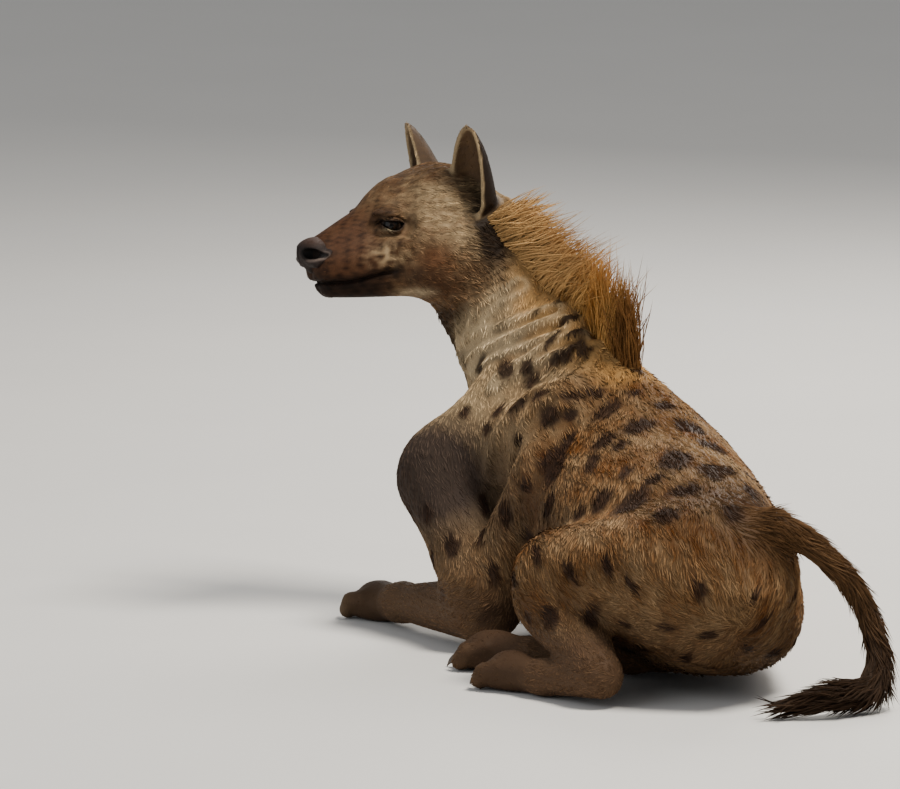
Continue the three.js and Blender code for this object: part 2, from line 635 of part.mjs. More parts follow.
add('head', COAT, 0.9, skull.subtract(region.jaw(GAP)));
add('lower_jaw', DARK_COAT, 0.9, skull.intersect(region.jaw(0)));
add('nose_pad', HORN, 0.45, nosePad(0).subtract(nostril(1)).subtract(nostril(-1)));
add('eye_left', HORN, 0.1, eyes.left(0));
add('eye_right', HORN, 0.1, eyes.right(0));
add('ear_left', EAR_SKIN, 0.9, ear(1).subtract(earCut).subtract(maneCut));
add('ear_right', EAR_SKIN, 0.9, ear(-1).subtract(earCut).subtract(maneCut));
add('mane', GOLD_HAIR, 0.95, new wasm.Manifold(maneSurface));
add('neck', COAT, 0.9, piece('trunk', ['neck'], ['head', 'leftArm', 'rightArm']).subtract(maneCut));
const trunkCuts = ['neck', 'leftArm', 'rightArm', 'leftForearm', 'rightForearm', 'leftThigh', 'rightThigh',
  'leftShank', 'leftFoot', 'rightHindPaw', 'tail'];
add('chest', COAT, 0.9, piece('trunk', ['chest'], trunkCuts).subtract(maneCut));
add('belly', COAT, 0.9, piece('trunk', [], [...trunkCuts, 'chest', 'rump']).subtract(maneCut));
add('rump', COAT, 0.9, piece('trunk', ['rump'], trunkCuts));
add('tail', DARK_COAT, 0.95, piece('tail', ['tail'], ['leftThigh', 'rightThigh']));

for (const side of ['left', 'right']) {
  add(`${side}_upper_arm`, COAT, 0.9, piece('trunk', [`${side}Arm`], [`${side}Forearm`]).subtract(maneCut));
  add(`${side}_forearm`, DARK_COAT, 0.9, piece('forearms', [`${side}Forearm`], [`${side}ForePaw`]));
}
add('left_thigh', COAT, 0.9, piece('trunk', ['leftThigh'], ['leftShank', 'leftFoot', 'tail']));
add('left_shank', COAT, 0.9, piece('shanks', ['leftShank'], ['leftFoot']));
add('left_hock', DARK_COAT, 0.9, piece('shanks', ['leftFoot'], ['leftHindPaw']));
add('right_thigh', COAT, 0.9, piece('trunk', ['rightThigh'], ['leftThigh', 'tail']));

const pawRegions = {
  left_fore_paw: 'leftForePaw',
  right_fore_paw: 'rightForePaw',
  left_hind_paw: 'leftHindPaw',
  right_hind_paw: 'rightHindPaw',
};
for (const [name, place] of Object.entries(PAWS)) {
  const [x, y] = place;
  surfaces[name] = faceted(flesh, [x - 90, y - 75, -25], [x + 95, y + 75, 95], FOOT_CELL);
  let body = piece(name, [pawRegions[name]], []);
  TOES.forEach((_, k) => {
    body = body.subtract(claw(place, k)(GAP));
    add(`${name}_claw_${k + 1}`, HORN, 0.4, claw(place, k)(0));
  });
  add(name, DARK_COAT, 0.9, body);
}

export default group;
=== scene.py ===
import math

import bpy
import numpy as np
from bpy.props import FloatProperty, FloatVectorProperty, IntProperty, PointerProperty
from bpy.types import Operator, Panel, PropertyGroup
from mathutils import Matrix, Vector


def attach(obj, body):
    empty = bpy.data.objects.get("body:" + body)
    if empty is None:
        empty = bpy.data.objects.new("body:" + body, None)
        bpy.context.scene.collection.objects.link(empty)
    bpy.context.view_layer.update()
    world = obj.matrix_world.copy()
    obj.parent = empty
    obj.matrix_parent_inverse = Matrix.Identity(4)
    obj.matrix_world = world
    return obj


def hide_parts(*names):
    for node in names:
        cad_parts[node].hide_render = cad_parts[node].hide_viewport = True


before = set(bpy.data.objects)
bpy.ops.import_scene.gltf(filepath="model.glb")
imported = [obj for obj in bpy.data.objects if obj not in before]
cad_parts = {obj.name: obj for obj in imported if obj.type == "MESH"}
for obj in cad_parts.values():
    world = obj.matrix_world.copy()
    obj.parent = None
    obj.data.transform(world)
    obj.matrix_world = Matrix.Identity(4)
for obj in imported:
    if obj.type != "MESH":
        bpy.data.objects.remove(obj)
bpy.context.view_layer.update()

bl_info = {
    "name": "Spotted hyena",
    "version": (1, 0, 0),
    "blender": (4, 5, 0),
    "location": "View3D > Sidebar > Hyena",
    "description": "Builds the skin, coat, eyes, nose and claws of a lying spotted hyena",
    "category": "Object",
}

# Row frame, metres: X forward along the trunk, Y to the animal's left, Z up from the floor.
# Arrays have one row a point: P places, H places in the head's frame, V corners of a mesh,
# N outward directions, D the way of a lock, C colours.

# Stations of the trunk and neck: middle x, y, z, half width, height above, depth below,
# roll in degrees with the left side up, and the arch of the top
SPINE = [
    (-0.520, 0.100, 0.163, 0.108, 0.112, 0.130, 36, 2.0),
    (-0.440, 0.087, 0.163, 0.128, 0.133, 0.150, 33, 2.0),
    (-0.360, 0.070, 0.167, 0.142, 0.150, 0.162, 27, 2.0),
    (-0.250, 0.044, 0.176, 0.158, 0.163, 0.175, 18, 1.9),
    (-0.140, 0.022, 0.185, 0.158, 0.188, 0.197, 9, 1.7),
    (-0.040, 0.008, 0.200, 0.136, 0.210, 0.216, 3, 1.5),
    (0.050, 0.006, 0.225, 0.122, 0.220, 0.243, 0, 1.5),
    (0.125, 0.010, 0.262, 0.112, 0.224, 0.165, 0, 1.5),
    (0.186, 0.004, 0.332, 0.098, 0.200, 0.135, 0, 1.5),
    (0.236, 0.008, 0.402, 0.090, 0.158, 0.116, 0, 1.5),
    (0.272, 0.030, 0.470, 0.084, 0.122, 0.104, 0, 1.6),
    (0.292, 0.068, 0.522, 0.078, 0.090, 0.090, 0, 1.8),
]
# The crest that holds the mane, with the same columns
CREST = [
    (-0.072, 0.000, 0.395, 0.012, 0.008, 0.030, 0, 1.6),
    (-0.056, 0.000, 0.402, 0.018, 0.062, 0.040, 0, 1.6),
    (-0.040, 0.000, 0.410, 0.021, 0.098, 0.040, 0, 1.6),
    (0.000, 0.000, 0.424, 0.023, 0.104, 0.040, 0, 1.6),
    (0.055, 0.000, 0.440, 0.024, 0.094, 0.040, 0, 1.6),
    (0.110, 0.002, 0.466, 0.024, 0.082, 0.040, 0, 1.6),
    (0.157, 0.006, 0.500, 0.023, 0.068, 0.035, 0, 1.6),
    (0.192, 0.016, 0.538, 0.020, 0.052, 0.030, 0, 1.6),
    (0.216, 0.036, 0.575, 0.015, 0.026, 0.025, 0, 1.6),
]
# Arch of the underside of both
LOWER_POWER = 2.3

# Limbs as tapered rods, each point with x, y, z and radius
LEFT_FORE = {
    "blade": [(-0.030, 0.055, 0.325, 0.060), (0.175, 0.130, 0.222, 0.072)],
    "throat": [(0.145, 0.066, 0.330, 0.058), (0.178, 0.132, 0.228, 0.070)],
    "arm": [(0.182, 0.152, 0.205, 0.074), (0.020, 0.180, 0.080, 0.052)],
    "triceps": [(-0.040, 0.110, 0.250, 0.055), (0.010, 0.170, 0.090, 0.052)],
    "forearm": [(0.015, 0.180, 0.054, 0.050), (0.235, 0.190, 0.034, 0.028), (0.290, 0.189, 0.026, 0.026)],
}
RIGHT_FORE = {
    "blade": [(-0.030, -0.040, 0.310, 0.056), (0.160, -0.112, 0.205, 0.070)],
    "throat": [(0.120, -0.050, 0.290, 0.055), (0.160, -0.115, 0.215, 0.066)],
    "arm": [(0.165, -0.125, 0.195, 0.072), (0.010, -0.165, 0.080, 0.052)],
    "triceps": [(-0.040, -0.090, 0.220, 0.055), (0.000, -0.155, 0.090, 0.052)],
    "forearm": [(0.005, -0.165, 0.054, 0.050), (0.225, -0.175, 0.034, 0.028), (0.280, -0.172, 0.026, 0.026)],
}
LEFT_THIGH = [(-0.460, 0.150, 0.172, 0.098), (-0.270, 0.215, 0.150, 0.072)]
LEFT_SHANK = [(-0.265, 0.225, 0.120, 0.064), (-0.455, 0.262, 0.052, 0.034)]
LEFT_HOCK = [(-0.470, 0.262, 0.040, 0.032), (-0.360, 0.290, 0.026, 0.026), (-0.310, 0.300, 0.026, 0.026)]
RIGHT_THIGH = [(-0.450, 0.040, 0.110, 0.095), (-0.265, -0.065, 0.085, 0.070)]
RIGHT_HOCK = [(-0.280, 0.120, 0.035, 0.030), (-0.190, 0.215, 0.026, 0.026), (-0.150, 0.238, 0.026, 0.026)]
BUTTOCK = ((-0.510, 0.105, 0.160), (0.095, 0.108, 0.105))
TAIL = [
    (-0.550, 0.050, 0.240, 0.040),
    (-0.580, 0.012, 0.220, 0.031),
    (-0.608, -0.042, 0.160, 0.026),
    (-0.640, -0.062, 0.084, 0.027),
    (-0.668, -0.038, 0.034, 0.033),
    (-0.684, 0.024, 0.029, 0.031),
    (-0.672, 0.084, 0.018, 0.017),
]
# Paws: x, y of the middle and the heading in degrees
PAWS = {
    "left_fore_paw": (0.300, 0.189, 0),
    "right_fore_paw": (0.290, -0.172, 3),
    "left_hind_paw": (-0.295, 0.302, 8),
    "right_hind_paw": (-0.135, 0.246, 30),
}
# Toes of a paw: distance to the left of its middle, and reach forward
TOES = ((-0.032, 0.028), (-0.011, 0.040), (0.011, 0.040), (0.032, 0.028))

# Head: tip of the nose, heading and roll in degrees; places on it are back, out and up from the tip
NOSE = np.array([0.342, 0.293, 0.5126])
HEAD_HEADING = 86
HEAD_ROLL = 6
EYE = {"at": (0.121, 0.0405, 0.0275), "radius": 0.0140}
EAR = {"root": (0.2245, 0.074, 0.050), "lean": (-0.20, 0.32, 1.0), "turn": 16, "height": 0.116, "sunk": 0.035,
       "half_width": 0.037, "cup": 0.036, "wall": 0.005}

# Skin folds of the turned neck and the shoulder, in mm: depth, half width and the line over the skin
FOLDS = [
    (4, 6, [(244, 98, 373), (198, 90, 397), (149, 65, 420), (100, 30, 442)]),
    (4.5, 6, [(232, 97, 352), (164, 93, 388), (118, 66, 408), (67, 37, 429)]),
    (3, 5, [(226, 98, 393), (208, 90, 423), (190, 69, 451), (176, 41, 469)]),
    (4, 6, [(117, 118, 351), (98, 92, 374), (55, 64, 401), (15, 34, 418)]),
    (7, 9, [(51, 145, 229), (38, 149, 268), (25, 141, 306), (16, 120, 342)]),
    (5, 8, [(-46, 171, 235), (-19, 155, 276), (-17, 133, 311), (-36, 112, 344)]),
    (4, 8, [(-82, 163, 231), (-70, 154, 269), (-60, 130, 303), (-75, 102, 335)]),
    (4, 6, [(229, 104, 435), (237, 102, 406), (250, 101, 377), (266, 94, 351)]),
]
# The wet front of the left shoulder: middle and half size
WET_SHOULDER = ((0.15, 0.19, 0.22), (0.12, 0.09, 0.085))
# Heights of the skin, the locks and the claws above the floor
SKIN_FLOOR, LOCK_FLOOR, CLAW_FLOOR = 0.0012, 0.0004, 0.0008
MOST_TRIANGLES = 200000
# A spacing so wide that no root falls there
NOWHERE = 9.0
# Rows and columns of an eye; rings and sides of a claw
EYE_GRID = (40, 56)
CLAW_GRID = (9, 12)

# Size of the picture, and the pixel at which a place near the withers is seen
PICTURE = (900, 789)
WITHERS = (-0.03, 0, 0.41)
WITHERS_PIXEL = (618, 345)
# Lamps: name, metres to the right, up and away from the camera, size, power and colour
LAMPS = [
    ("key", (1.3, 3.0, -1.3), 1.1, 230, (1.0, 0.95, 0.86)),
    ("fill", (-2.6, 0.8, -2.4), 3.0, 45, (0.90, 0.95, 1.0)),
    ("rim", (1.0, 2.4, 2.6), 2.0, 110, (1.0, 0.96, 0.9)),
]


def vec(*a):
    return np.array(a, float)


def smooth(low, high, x):
    t = np.clip((x - low) / (high - low), 0, 1)
    return t * t * (3 - 2 * t)


def blend(a, b, soft):
    h = np.maximum(soft - np.abs(a - b), 0) / soft
    return np.minimum(a, b) - h * h * soft * 0.25


def carve(a, b, soft):
    return -blend(-a, -b, soft)


def unit(v):
    return v / np.maximum(np.linalg.norm(v, axis=-1, keepdims=True), 1e-12)


def dot(a, b):
    return np.einsum("...k,...k->...", a, b)


def rod(P, a, b, ra=None, rb=None):
    """Distance from a tapered rod between two points, each with a radius as a fourth number."""
    ra, rb = (a[3], b[3]) if ra is None else (ra, rb)
    a, b = vec(*a[:3]), vec(*b[:3])
    t = np.clip((P - a) @ (b - a) / ((b - a) @ (b - a)), 0, 1)
    q = P - a - t[:, None] * (b - a)
    return np.sqrt(dot(q, q)) - (ra + (rb - ra) * t)


def ball(P, at, radii):
    q, r = P - vec(*at), vec(*radii)
    k0 = np.sqrt(((q / r) ** 2).sum(1))
    k1 = np.sqrt(((q / (r * r)) ** 2).sum(1))
    return k0 * (k0 - 1) / np.maximum(k1, 1e-9)


def chain(P, points, soft):
    d = rod(P, points[0], points[1])
    for a, b in zip(points[1:-1], points[2:]):
        d = blend(d, rod(P, a, b), soft)
    return d


def rods_of(*lines):
    """The rods between neighbouring points of each line."""
    return [(a, b) for line in lines for a, b in zip(line, line[1:])]


def distances(P, rods):
    """Distance of each place from the middle of each rod."""
    return np.array([rod(P, a, b, 0, 0) for a, b in rods])


def through(points, steps):
    """A smooth line through points of any number of values."""
    P = np.asarray(points, float)
    P = np.vstack([2 * P[0] - P[1], P, 2 * P[-1] - P[-2]])
    t = (np.arange(steps) / steps)[:, None]
    line = []
    for a, b, c, d in zip(P[:-3], P[1:-2], P[2:-1], P[3:]):
        line.append(
            0.5 * (2 * b + (c - a) * t + (2 * a - 5 * b + 4 * c - d) * t**2 + (3 * b - a - 3 * c + d) * t**3)
        )
    return np.vstack([*line, P[-2:-1]])


class Tube:
    """A body of changing oval section along a line of stations."""

    def __init__(self, stations, steps=6):
        s = through(stations, steps)
        self.middle, self.size = s[:, :3], s[:, [3, 4, 5, 7]]
        ahead = np.gradient(self.middle, axis=0)
        self.gap = np.linalg.norm(ahead, axis=1)
        self.ahead = ahead / self.gap[:, None]
        side = unit(np.cross(vec(0, 0, 1), self.ahead))
        up = np.cross(self.ahead, side)
        c, n = np.cos(np.radians(s[:, 6]))[:, None], np.sin(np.radians(s[:, 6]))[:, None]
        self.side, self.up = side * c + up * n, up * c - side * n
        self.count, self.steps = len(s), steps

    def place(self, P):
        """Station number of each point, and a function that blends its two nearest rings."""
        best, nearest = np.zeros(len(P), int), np.full(len(P), np.inf)
        for i, c in enumerate(self.middle):
            q = P - c
            d = dot(q, q)
            m = d < nearest
            nearest[m], best[m] = d[m], i
        past = dot(P - self.middle[best], self.ahead[best]) / self.gap[best]
        u = np.clip(best + past, 0, self.count - 1)
        i = np.minimum(u.astype(int), self.count - 2)
        f = (u - i)[:, None]
        return u / self.steps, lambda a: a[i] * (1 - f) + a[i + 1] * f

    def field(self, P):
        _, mix = self.place(P)
        q, s = P - mix(self.middle), mix(self.size)
        out, high, beyond = dot(q, mix(self.side)), dot(q, mix(self.up)), dot(q, mix(self.ahead))
        tall = np.where(high > 0, s[:, 1], s[:, 2])
        power = np.where(high > 0, s[:, 3], LOWER_POWER)
        k = (np.abs(out / s[:, 0]) ** power + np.abs(high / tall) ** power) ** (1 / power)
        d = (k - 1) * np.minimum(s[:, 0], tall)
        return np.hypot(np.maximum(d, 0), beyond) + np.minimum(d, 0)


spine = Tube(SPINE)
crest = Tube(CREST)
tail_line = through(TAIL, 3)
TAIL_RODS = rods_of(tail_line)
LIMB_RODS = rods_of(LEFT_FORE["forearm"], RIGHT_FORE["forearm"], LEFT_HOCK, RIGHT_HOCK)
FORE_RODS = 4


def head_axes():
    h, r = math.radians(HEAD_HEADING), math.radians(HEAD_ROLL)
    ahead = vec(math.cos(h), math.sin(h), 0)
    left, up = vec(-ahead[1], ahead[0], 0), vec(0, 0, 1)
    return ahead, left * math.cos(r) + up * math.sin(r), up * math.cos(r) - left * math.sin(r)


AHEAD, LEFT, UP = head_axes()


def to_head(P):
    q = P - NOSE
    return np.stack([-(q @ AHEAD), q @ LEFT, q @ UP], 1)


def from_head(back, left, up):
    return NOSE - AHEAD * back + LEFT * left + UP * up


def mirrored(H):
    """Places of the head, with those on the right turned over to the left."""
    return np.stack([H[:, 0], np.abs(H[:, 1]), H[:, 2]], 1)


def head_share(P):
    """1 on the head, falling to 0 on the neck."""
    H = to_head(P)
    k = np.sqrt(((H[:, 0] - 0.14) / 0.17) ** 2 + (H[:, 1] / 0.16) ** 2 + ((H[:, 2] - 0.01) / 0.15) ** 2)
    return 1 - smooth(0.85, 1.15, k)


def foreleg(P, leg):
    d = chain(P, leg["blade"], 0.03)
    for part in ("throat", "arm", "triceps"):
        d = blend(d, chain(P, leg[part], 0.03), 0.04)
    return blend(d, chain(P, leg["forearm"], 0.02), 0.02)


def paw(P, x, y, heading, thin):
    c, s = math.cos(math.radians(heading)), math.sin(math.radians(heading))
    q = P - vec(x, y, 0)
    A = np.stack([q[:, 0] * c + q[:, 1] * s, q[:, 1] * c - q[:, 0] * s, q[:, 2]], 1)
    d = ball(A, (0.002, 0, 0.027), (0.042 - thin, 0.034 - thin, 0.030 - thin))
    d = blend(d, ball(A, (0.016, 0, 0.013), (0.036, 0.035, 0.0135)), 0.008)
    for lateral, reach in TOES:
        toe = rod(A, (reach - 0.030, lateral * 0.72, 0.032, 0.0130), (reach - 0.006, lateral, 0.024, 0.0132))
        tip = rod(A, (reach - 0.006, lateral, 0.024, 0.0132), (reach + 0.004, lateral * 1.02, 0.0130, 0.0122))
        d = blend(d, blend(toe, tip, 0.004), 0.004)
    return d


def legs(P):
    d = np.full(len(P), 1.0)
    fore, hind = P[:, 0] > -0.18, P[:, 0] < -0.02
    d[fore] = np.minimum(foreleg(P[fore], LEFT_FORE), foreleg(P[fore], RIGHT_FORE))
    P = P[hind]
    left = blend(chain(P, LEFT_THIGH, 0.03), chain(P, LEFT_SHANK, 0.03), 0.03)
    left = blend(left, chain(P, LEFT_HOCK, 0.015), 0.015)
    right = blend(chain(P, RIGHT_THIGH, 0.03), chain(P, RIGHT_HOCK, 0.015), 0.03)
    d[hind] = np.minimum(d[hind], np.minimum(left, right))
    return d


def shin_distance(P):
    """Distance from the middle of the lower legs and paws."""
    return distances(P, LIMB_RODS).min(0)


def paw_distance(P):
    return np.min([np.linalg.norm(P - vec(x, y, 0.02), axis=1) for x, y, _ in PAWS.values()], axis=0)


def tail_distance(P, thin=1.0):
    return np.min([rod(P, a, b, a[3] * thin, b[3] * thin) for a, b in TAIL_RODS], axis=0)


def coat_depth(P, H, share):
    """Depth of the coat over the skin."""
    face = 0.0025 + 0.0075 * smooth(0.05, 0.24, H[:, 0])
    body = 0.0045 + 0.0085 * smooth(0.04, 0.10, shin_distance(P))
    body = np.minimum(body, 0.0025 + 0.010 * smooth(0.04, 0.12, paw_distance(P)))
    return body * (1 - share) + face * share


def lip_line(u):
    """Height of the line of the mouth at a distance back from the nose."""
    return -0.047 + 0.011 * smooth(0.055, 0.120, u) - 0.003 * smooth(0.03, 0.0, u)


def aperture(A):
    """Opening between the lids, as seen from the side of the head: below zero inside."""
    long = 0.0172
    a, v = A[:, 0] - EYE["at"][0] + 0.001, A[:, 2] - EYE["at"][2]
    v = v + 0.10 * a
    t = np.clip(1 - (a / long) ** 2, 0, 1)
    upper, lower = 0.0030 + 0.0020 * t, 0.0030 - 0.0108 * t**0.7
    return np.where(np.abs(a) < long, np.maximum(v - upper, lower - v), np.hypot(np.abs(a) - long, v - 0.003))


def head(H):
    A = mirrored(H)
    d = ball(A, (0.215, 0, 0.036), (0.088, 0.070, 0.070))
    d = blend(d, rod(A, (0.151, 0, 0.053, 0.043), (0.200, 0, 0.053, 0.057)), 0.03)
    d = blend(d, rod(A, (0.040, 0, -0.004, 0.0265), (0.118, 0, 0.024, 0.040)), 0.035)
    d = blend(d, rod(A, (0.039, 0.012, -0.026, 0.0245), (0.125, 0.030, -0.014, 0.036)), 0.02)
    d = blend(d, rod(A, (0.044, 0.004, -0.053, 0.018), (0.190, 0.045, -0.044, 0.036)), 0.02)
    d = blend(d, ball(A, (0.195, 0.058, -0.010), (0.060, 0.036, 0.062)), 0.03)
    d = blend(d, rod(A, (0.135, 0.050, 0.010, 0.018), (0.215, 0.078, 0.016, 0.022)), 0.03)
    d = blend(d, ball(A, (0.215, 0.042, 0.054), (0.062, 0.042, 0.050)), 0.03)
    d = blend(d, ball(A, (0.120, 0.040, 0.044), (0.028, 0.014, 0.010)), 0.012)
    return carve(d, -ball(A, (0.120, 0.062, 0.028), (0.021, 0.013, 0.013)), 0.008)


def face(d, H):
    """Lids, eye openings, mouth and creases worked into the skin of the head."""
    A = mirrored(H)
    u, out, v = A.T
    eye = np.linalg.norm(A - vec(*EYE["at"]), axis=1) - EYE["radius"]
    lids = eye - 0.0030 - 0.0012 * np.exp(-((aperture(A) - 0.0012) / 0.0022) ** 2)
    lids = np.maximum(lids, 0.035 - out)
    d = blend(d, lids, 0.007)
    along = u - EYE["at"][0]
    crease = np.maximum(np.abs(v - EYE["at"][2] - 0.0105 + 22.5 * along**2) - 0.0008, 0)
    d = d + 0.0022 * np.exp(-(crease**2) / 0.0016**2) * (1 - smooth(0.015, 0.026, np.abs(along)))
    opening = np.maximum(aperture(A), 0.034 - out)
    d = carve(d, -opening, 0.0015)
    d = carve(d, -(eye - 0.0004), 0.0006)
    below = v - 0.012 + 0.1 * (u - 0.12)
    d = d + 0.0018 * np.exp(-((below / 0.003) ** 2)) * (1 - smooth(0.016, 0.03, np.abs(u - 0.118)))
    gape = np.exp(-(((v - lip_line(u)) / 0.0026) ** 2)) * (1 - smooth(0.112, 0.124, u))
    lips = np.exp(-(((v - lip_line(u) - 0.008) / 0.006) ** 2)) * (1 - smooth(0.10, 0.13, u))
    return d - 0.0018 * lips + 0.0050 * gape


def nose_field(H):
    """Nose pad with its comma-shaped nostrils and the groove between them."""
    A = mirrored(H)
    d = ball(A, (0.025, 0.0, -0.005), (0.0255, 0.0245, 0.0205))
    d = blend(d, ball(A, (0.019, 0.0125, -0.008), (0.0175, 0.0165, 0.0180)), 0.006)
    d = blend(d, rod(A, (0.016, 0.0230, -0.021, 0.0048), (0.034, 0.0270, -0.006, 0.0048)), 0.005)
    d = blend(d, rod(A, (0.011, 0, -0.016, 0.0085), (0.019, 0, -0.029, 0.0060)), 0.006)
    d = carve(d, -nostril(A), 0.0025)
    return d + 0.0012 * np.exp(-((A[:, 1] / 0.0013) ** 2)) * (A[:, 2] < 0.003)


def nostril(A):
    """Hollow of a nostril, round in front with a slit running out and back."""
    hole = rod(A, (0.000, 0.0150, -0.005, 0.0064), (0.014, 0.0195, -0.007, 0.0082))
    return blend(hole, rod(A, (0.008, 0.0230, -0.006, 0.0054), (0.028, 0.0320, -0.009, 0.0026)), 0.004)


def ear_axes():
    lift = unit(vec(*EAR["lean"]))
    face_way = vec(-math.cos(math.radians(EAR["turn"])), math.sin(math.radians(EAR["turn"])), 0)
    face_way = unit(face_way - lift * (face_way @ lift))
    return vec(*EAR["root"]), lift, face_way, np.cross(lift, face_way)


def ear_place(H):
    """Height, outwards and sideways in the frame of the ear on each side."""
    A = mirrored(H)
    root, lift, way, side = ear_axes()
    q = A - root
    return q @ lift, q @ way, q @ side


def ear_section(h, least):
    """Share of the ear's whole height, and the half width and half depth of its oval there."""
    t = np.clip((h + EAR["sunk"]) / (EAR["height"] + EAR["sunk"]), 0, 1)
    foot = 0.35 + 0.65 * smooth(0, 0.3, t)
    wide = EAR["half_width"] * np.sqrt(np.maximum(1 - t**2.8, least)) * 0.93 * foot
    return t, wide, EAR["cup"] * np.sqrt(np.maximum(1 - t**2.2, least))


def ear_front(t):
    """How far forward of its middle the open side of the ear is cut off."""
    return 0.012 - 0.022 * t


def ears(H, spare=0.0003):
    """Both ears as shells, each open on one side."""
    h, o, l = ear_place(H)
    t, w, cup = ear_section(h, 0)
    w, cup = w + 1e-4, cup + 1e-4
    middle = np.abs((np.sqrt((l / w) ** 2 + (o / cup) ** 2) - 1) * np.minimum(w, cup))
    shell = middle - EAR["wall"] / 2 - spare
    d = carve(shell, o - ear_front(t), 0.003)
    return np.maximum(np.maximum(d, h - EAR["height"] + 0.003), -EAR["sunk"] - h)


def fold_depth(P):
    """Grooves of the skin folds, with a soft ridge beside each."""
    depth = np.zeros(len(P))
    near = (P[:, 2] > 0.20) & (P[:, 1] > 0.01) & (P[:, 0] > -0.11) & (P[:, 0] < 0.30)
    P, d = P[near], np.zeros(near.sum())
    for deep, width, points in FOLDS:
        deep, width = deep / 1000, width / 1000
        r = distances(P, rods_of(through(np.array(points) / 1000, 2))).min(0)
        groove, ridge = np.exp(-((r / width) ** 2)), np.exp(-(((r - 2.1 * width) / width) ** 2))
        d += 1.7 * deep * groove - 0.9 * deep * ridge
    depth[near] = d
    return depth


def skin_field(P):
    H = to_head(P)
    share = head_share(P)
    body = blend(spine.field(P), ball(P, *BUTTOCK), 0.04)
    body = blend(body, legs(P), 0.03)
    depth = coat_depth(P, H, share)
    near = np.linalg.norm(H - vec(0.15, 0, 0.02), axis=1) < 0.26
    d = body + depth
    for x, y, heading in PAWS.values():
        close = (np.abs(P[:, 0] - x) < 0.13) & (np.abs(P[:, 1] - y) < 0.13) & (P[:, 2] < 0.13)
        if close.any():
            d[close] = blend(d[close], paw(P[close], x, y, heading, 0.003), 0.012)
    rear = P[:, 0] < -0.35
    d[rear] = blend(d[rear], tail_distance(P[rear], 0.52), 0.03)
    if near.any():
        skull = face(blend(d[near], head(H[near]) + depth[near], 0.035), H[near])
        d[near] = blend(skull, ears(H[near]), 0.012)
    return np.maximum(d + fold_depth(P), SKIN_FLOOR - P[:, 2])


def spacing(low, high, coarse, fine_ranges):
    """Grid lines from low to high, closer together inside each fine range."""
    lines, x = [low], low
    while x < high:
        step = coarse
        for a, b, fine in fine_ranges:
            away = max(a - x, x - b, 0)
            step = min(step, fine + away * 0.22)
        x += step
        lines.append(x)
    return np.array(lines)


def nets(field, lines):
    """Closed surface of a field on a grid of uneven spacing: one vertex in each cell it crosses."""
    n = [len(a) for a in lines]
    step = 3
    blocks = [np.minimum(np.arange(0, m + step - 1, step), m - 1) for m in n]
    blocks = [np.unique(b) for b in blocks]
    G = np.stack(np.meshgrid(*[lines[k][blocks[k]] for k in range(3)], indexing="ij"), -1)
    C = in_parts(field, G.reshape(-1, 3)).reshape(G.shape[:3])
    size = np.stack(np.meshgrid(*[np.diff(lines[k][blocks[k]]) for k in range(3)], indexing="ij"), -1)
    reach = np.linalg.norm(size, axis=-1) * 1.25
    i, j, k = size.shape[:3]
    starts = [(a, b, c) for a in (0, 1) for b in (0, 1) for c in (0, 1)]
    near = np.min(np.abs([C[a : a + i, b : b + j, c : c + k] for a, b, c in starts]), axis=0) < reach
    last = [np.searchsorted(blocks[k], np.arange(n[k]), side="right") - 1 for k in range(3)]
    owner = [np.clip(last[k], 0, len(blocks[k]) - 2) for k in range(3)]
    F = C[np.ix_(*[np.searchsorted(blocks[k], blocks[k][owner[k]]) for k in range(3)])].astype(np.float32)
    M = near[np.ix_(*owner)]
    for axis in range(3):
        grown = M.copy()
        keep = [slice(None)] * 3
        shift = [slice(None)] * 3
        keep[axis], shift[axis] = slice(1, None), slice(None, -1)
        grown[tuple(keep)] |= M[tuple(shift)]
        M = grown
    where = np.argwhere(M)
    P = np.stack([lines[k][where[:, k]] for k in range(3)], 1)
    F[M] = in_parts(field, P)
    S = F < 0
    c = [m - 1 for m in n]
    total, count = np.zeros((*c, 3), np.float32), np.zeros(c, np.float32)
    for axis in range(3):
        others = [k for k in range(3) if k != axis]
        for a in (0, 1):
            for b in (0, 1):
                o = [0, 0, 0]
                o[others[0]], o[others[1]] = a, b
                start = tuple(slice(o[k], o[k] + c[k]) for k in range(3))
                o[axis] = 1
                end = tuple(slice(o[k], o[k] + c[k]) for k in range(3))
                cross = S[start] != S[end]
                f0, f1 = F[start], F[end]
                share = np.where(cross, f0 / np.where(cross, f0 - f1, 1), 0)
                o[axis] = 0
                for k in range(3):
                    total[..., k] += share if k == axis else cross * o[k]
                count += cross
    cells = count > 0
    index = np.full(c, -1)
    index[cells] = np.arange(cells.sum())
    ids = np.argwhere(cells)
    mean = total[cells] / count[cells][:, None]
    V = np.stack([lines[k][ids[:, k]] + mean[:, k] * np.diff(lines[k])[ids[:, k]] for k in range(3)], 1)
    quads = []
    for axis in range(3):
        a, b = [k for k in range(3) if k != axis]
        first = [slice(1, c[k]) for k in range(3)]
        first[axis] = slice(0, c[axis])
        second = list(first)
        second[axis] = slice(1, c[axis] + 1)
        s0, s1 = S[tuple(first)], S[tuple(second)]
        E = np.argwhere(s0 != s1)
        inside = s0[tuple(E.T)]
        E += [0 if k == axis else 1 for k in range(3)]

        def cell(da, db):
            q = E.copy()
            q[:, a] -= da
            q[:, b] -= db
            return index[tuple(q.T)]

        q = np.stack([cell(1, 1), cell(0, 1), cell(0, 0), cell(1, 0)], 1)
        turned = ~inside if axis != 1 else inside
        q[turned] = q[turned][:, ::-1]
        quads.append(q)
    return V, np.vstack(quads)


def in_parts(field, P, size=150000):
    return np.concatenate([field(P[i : i + size]) for i in range(0, len(P), size)])


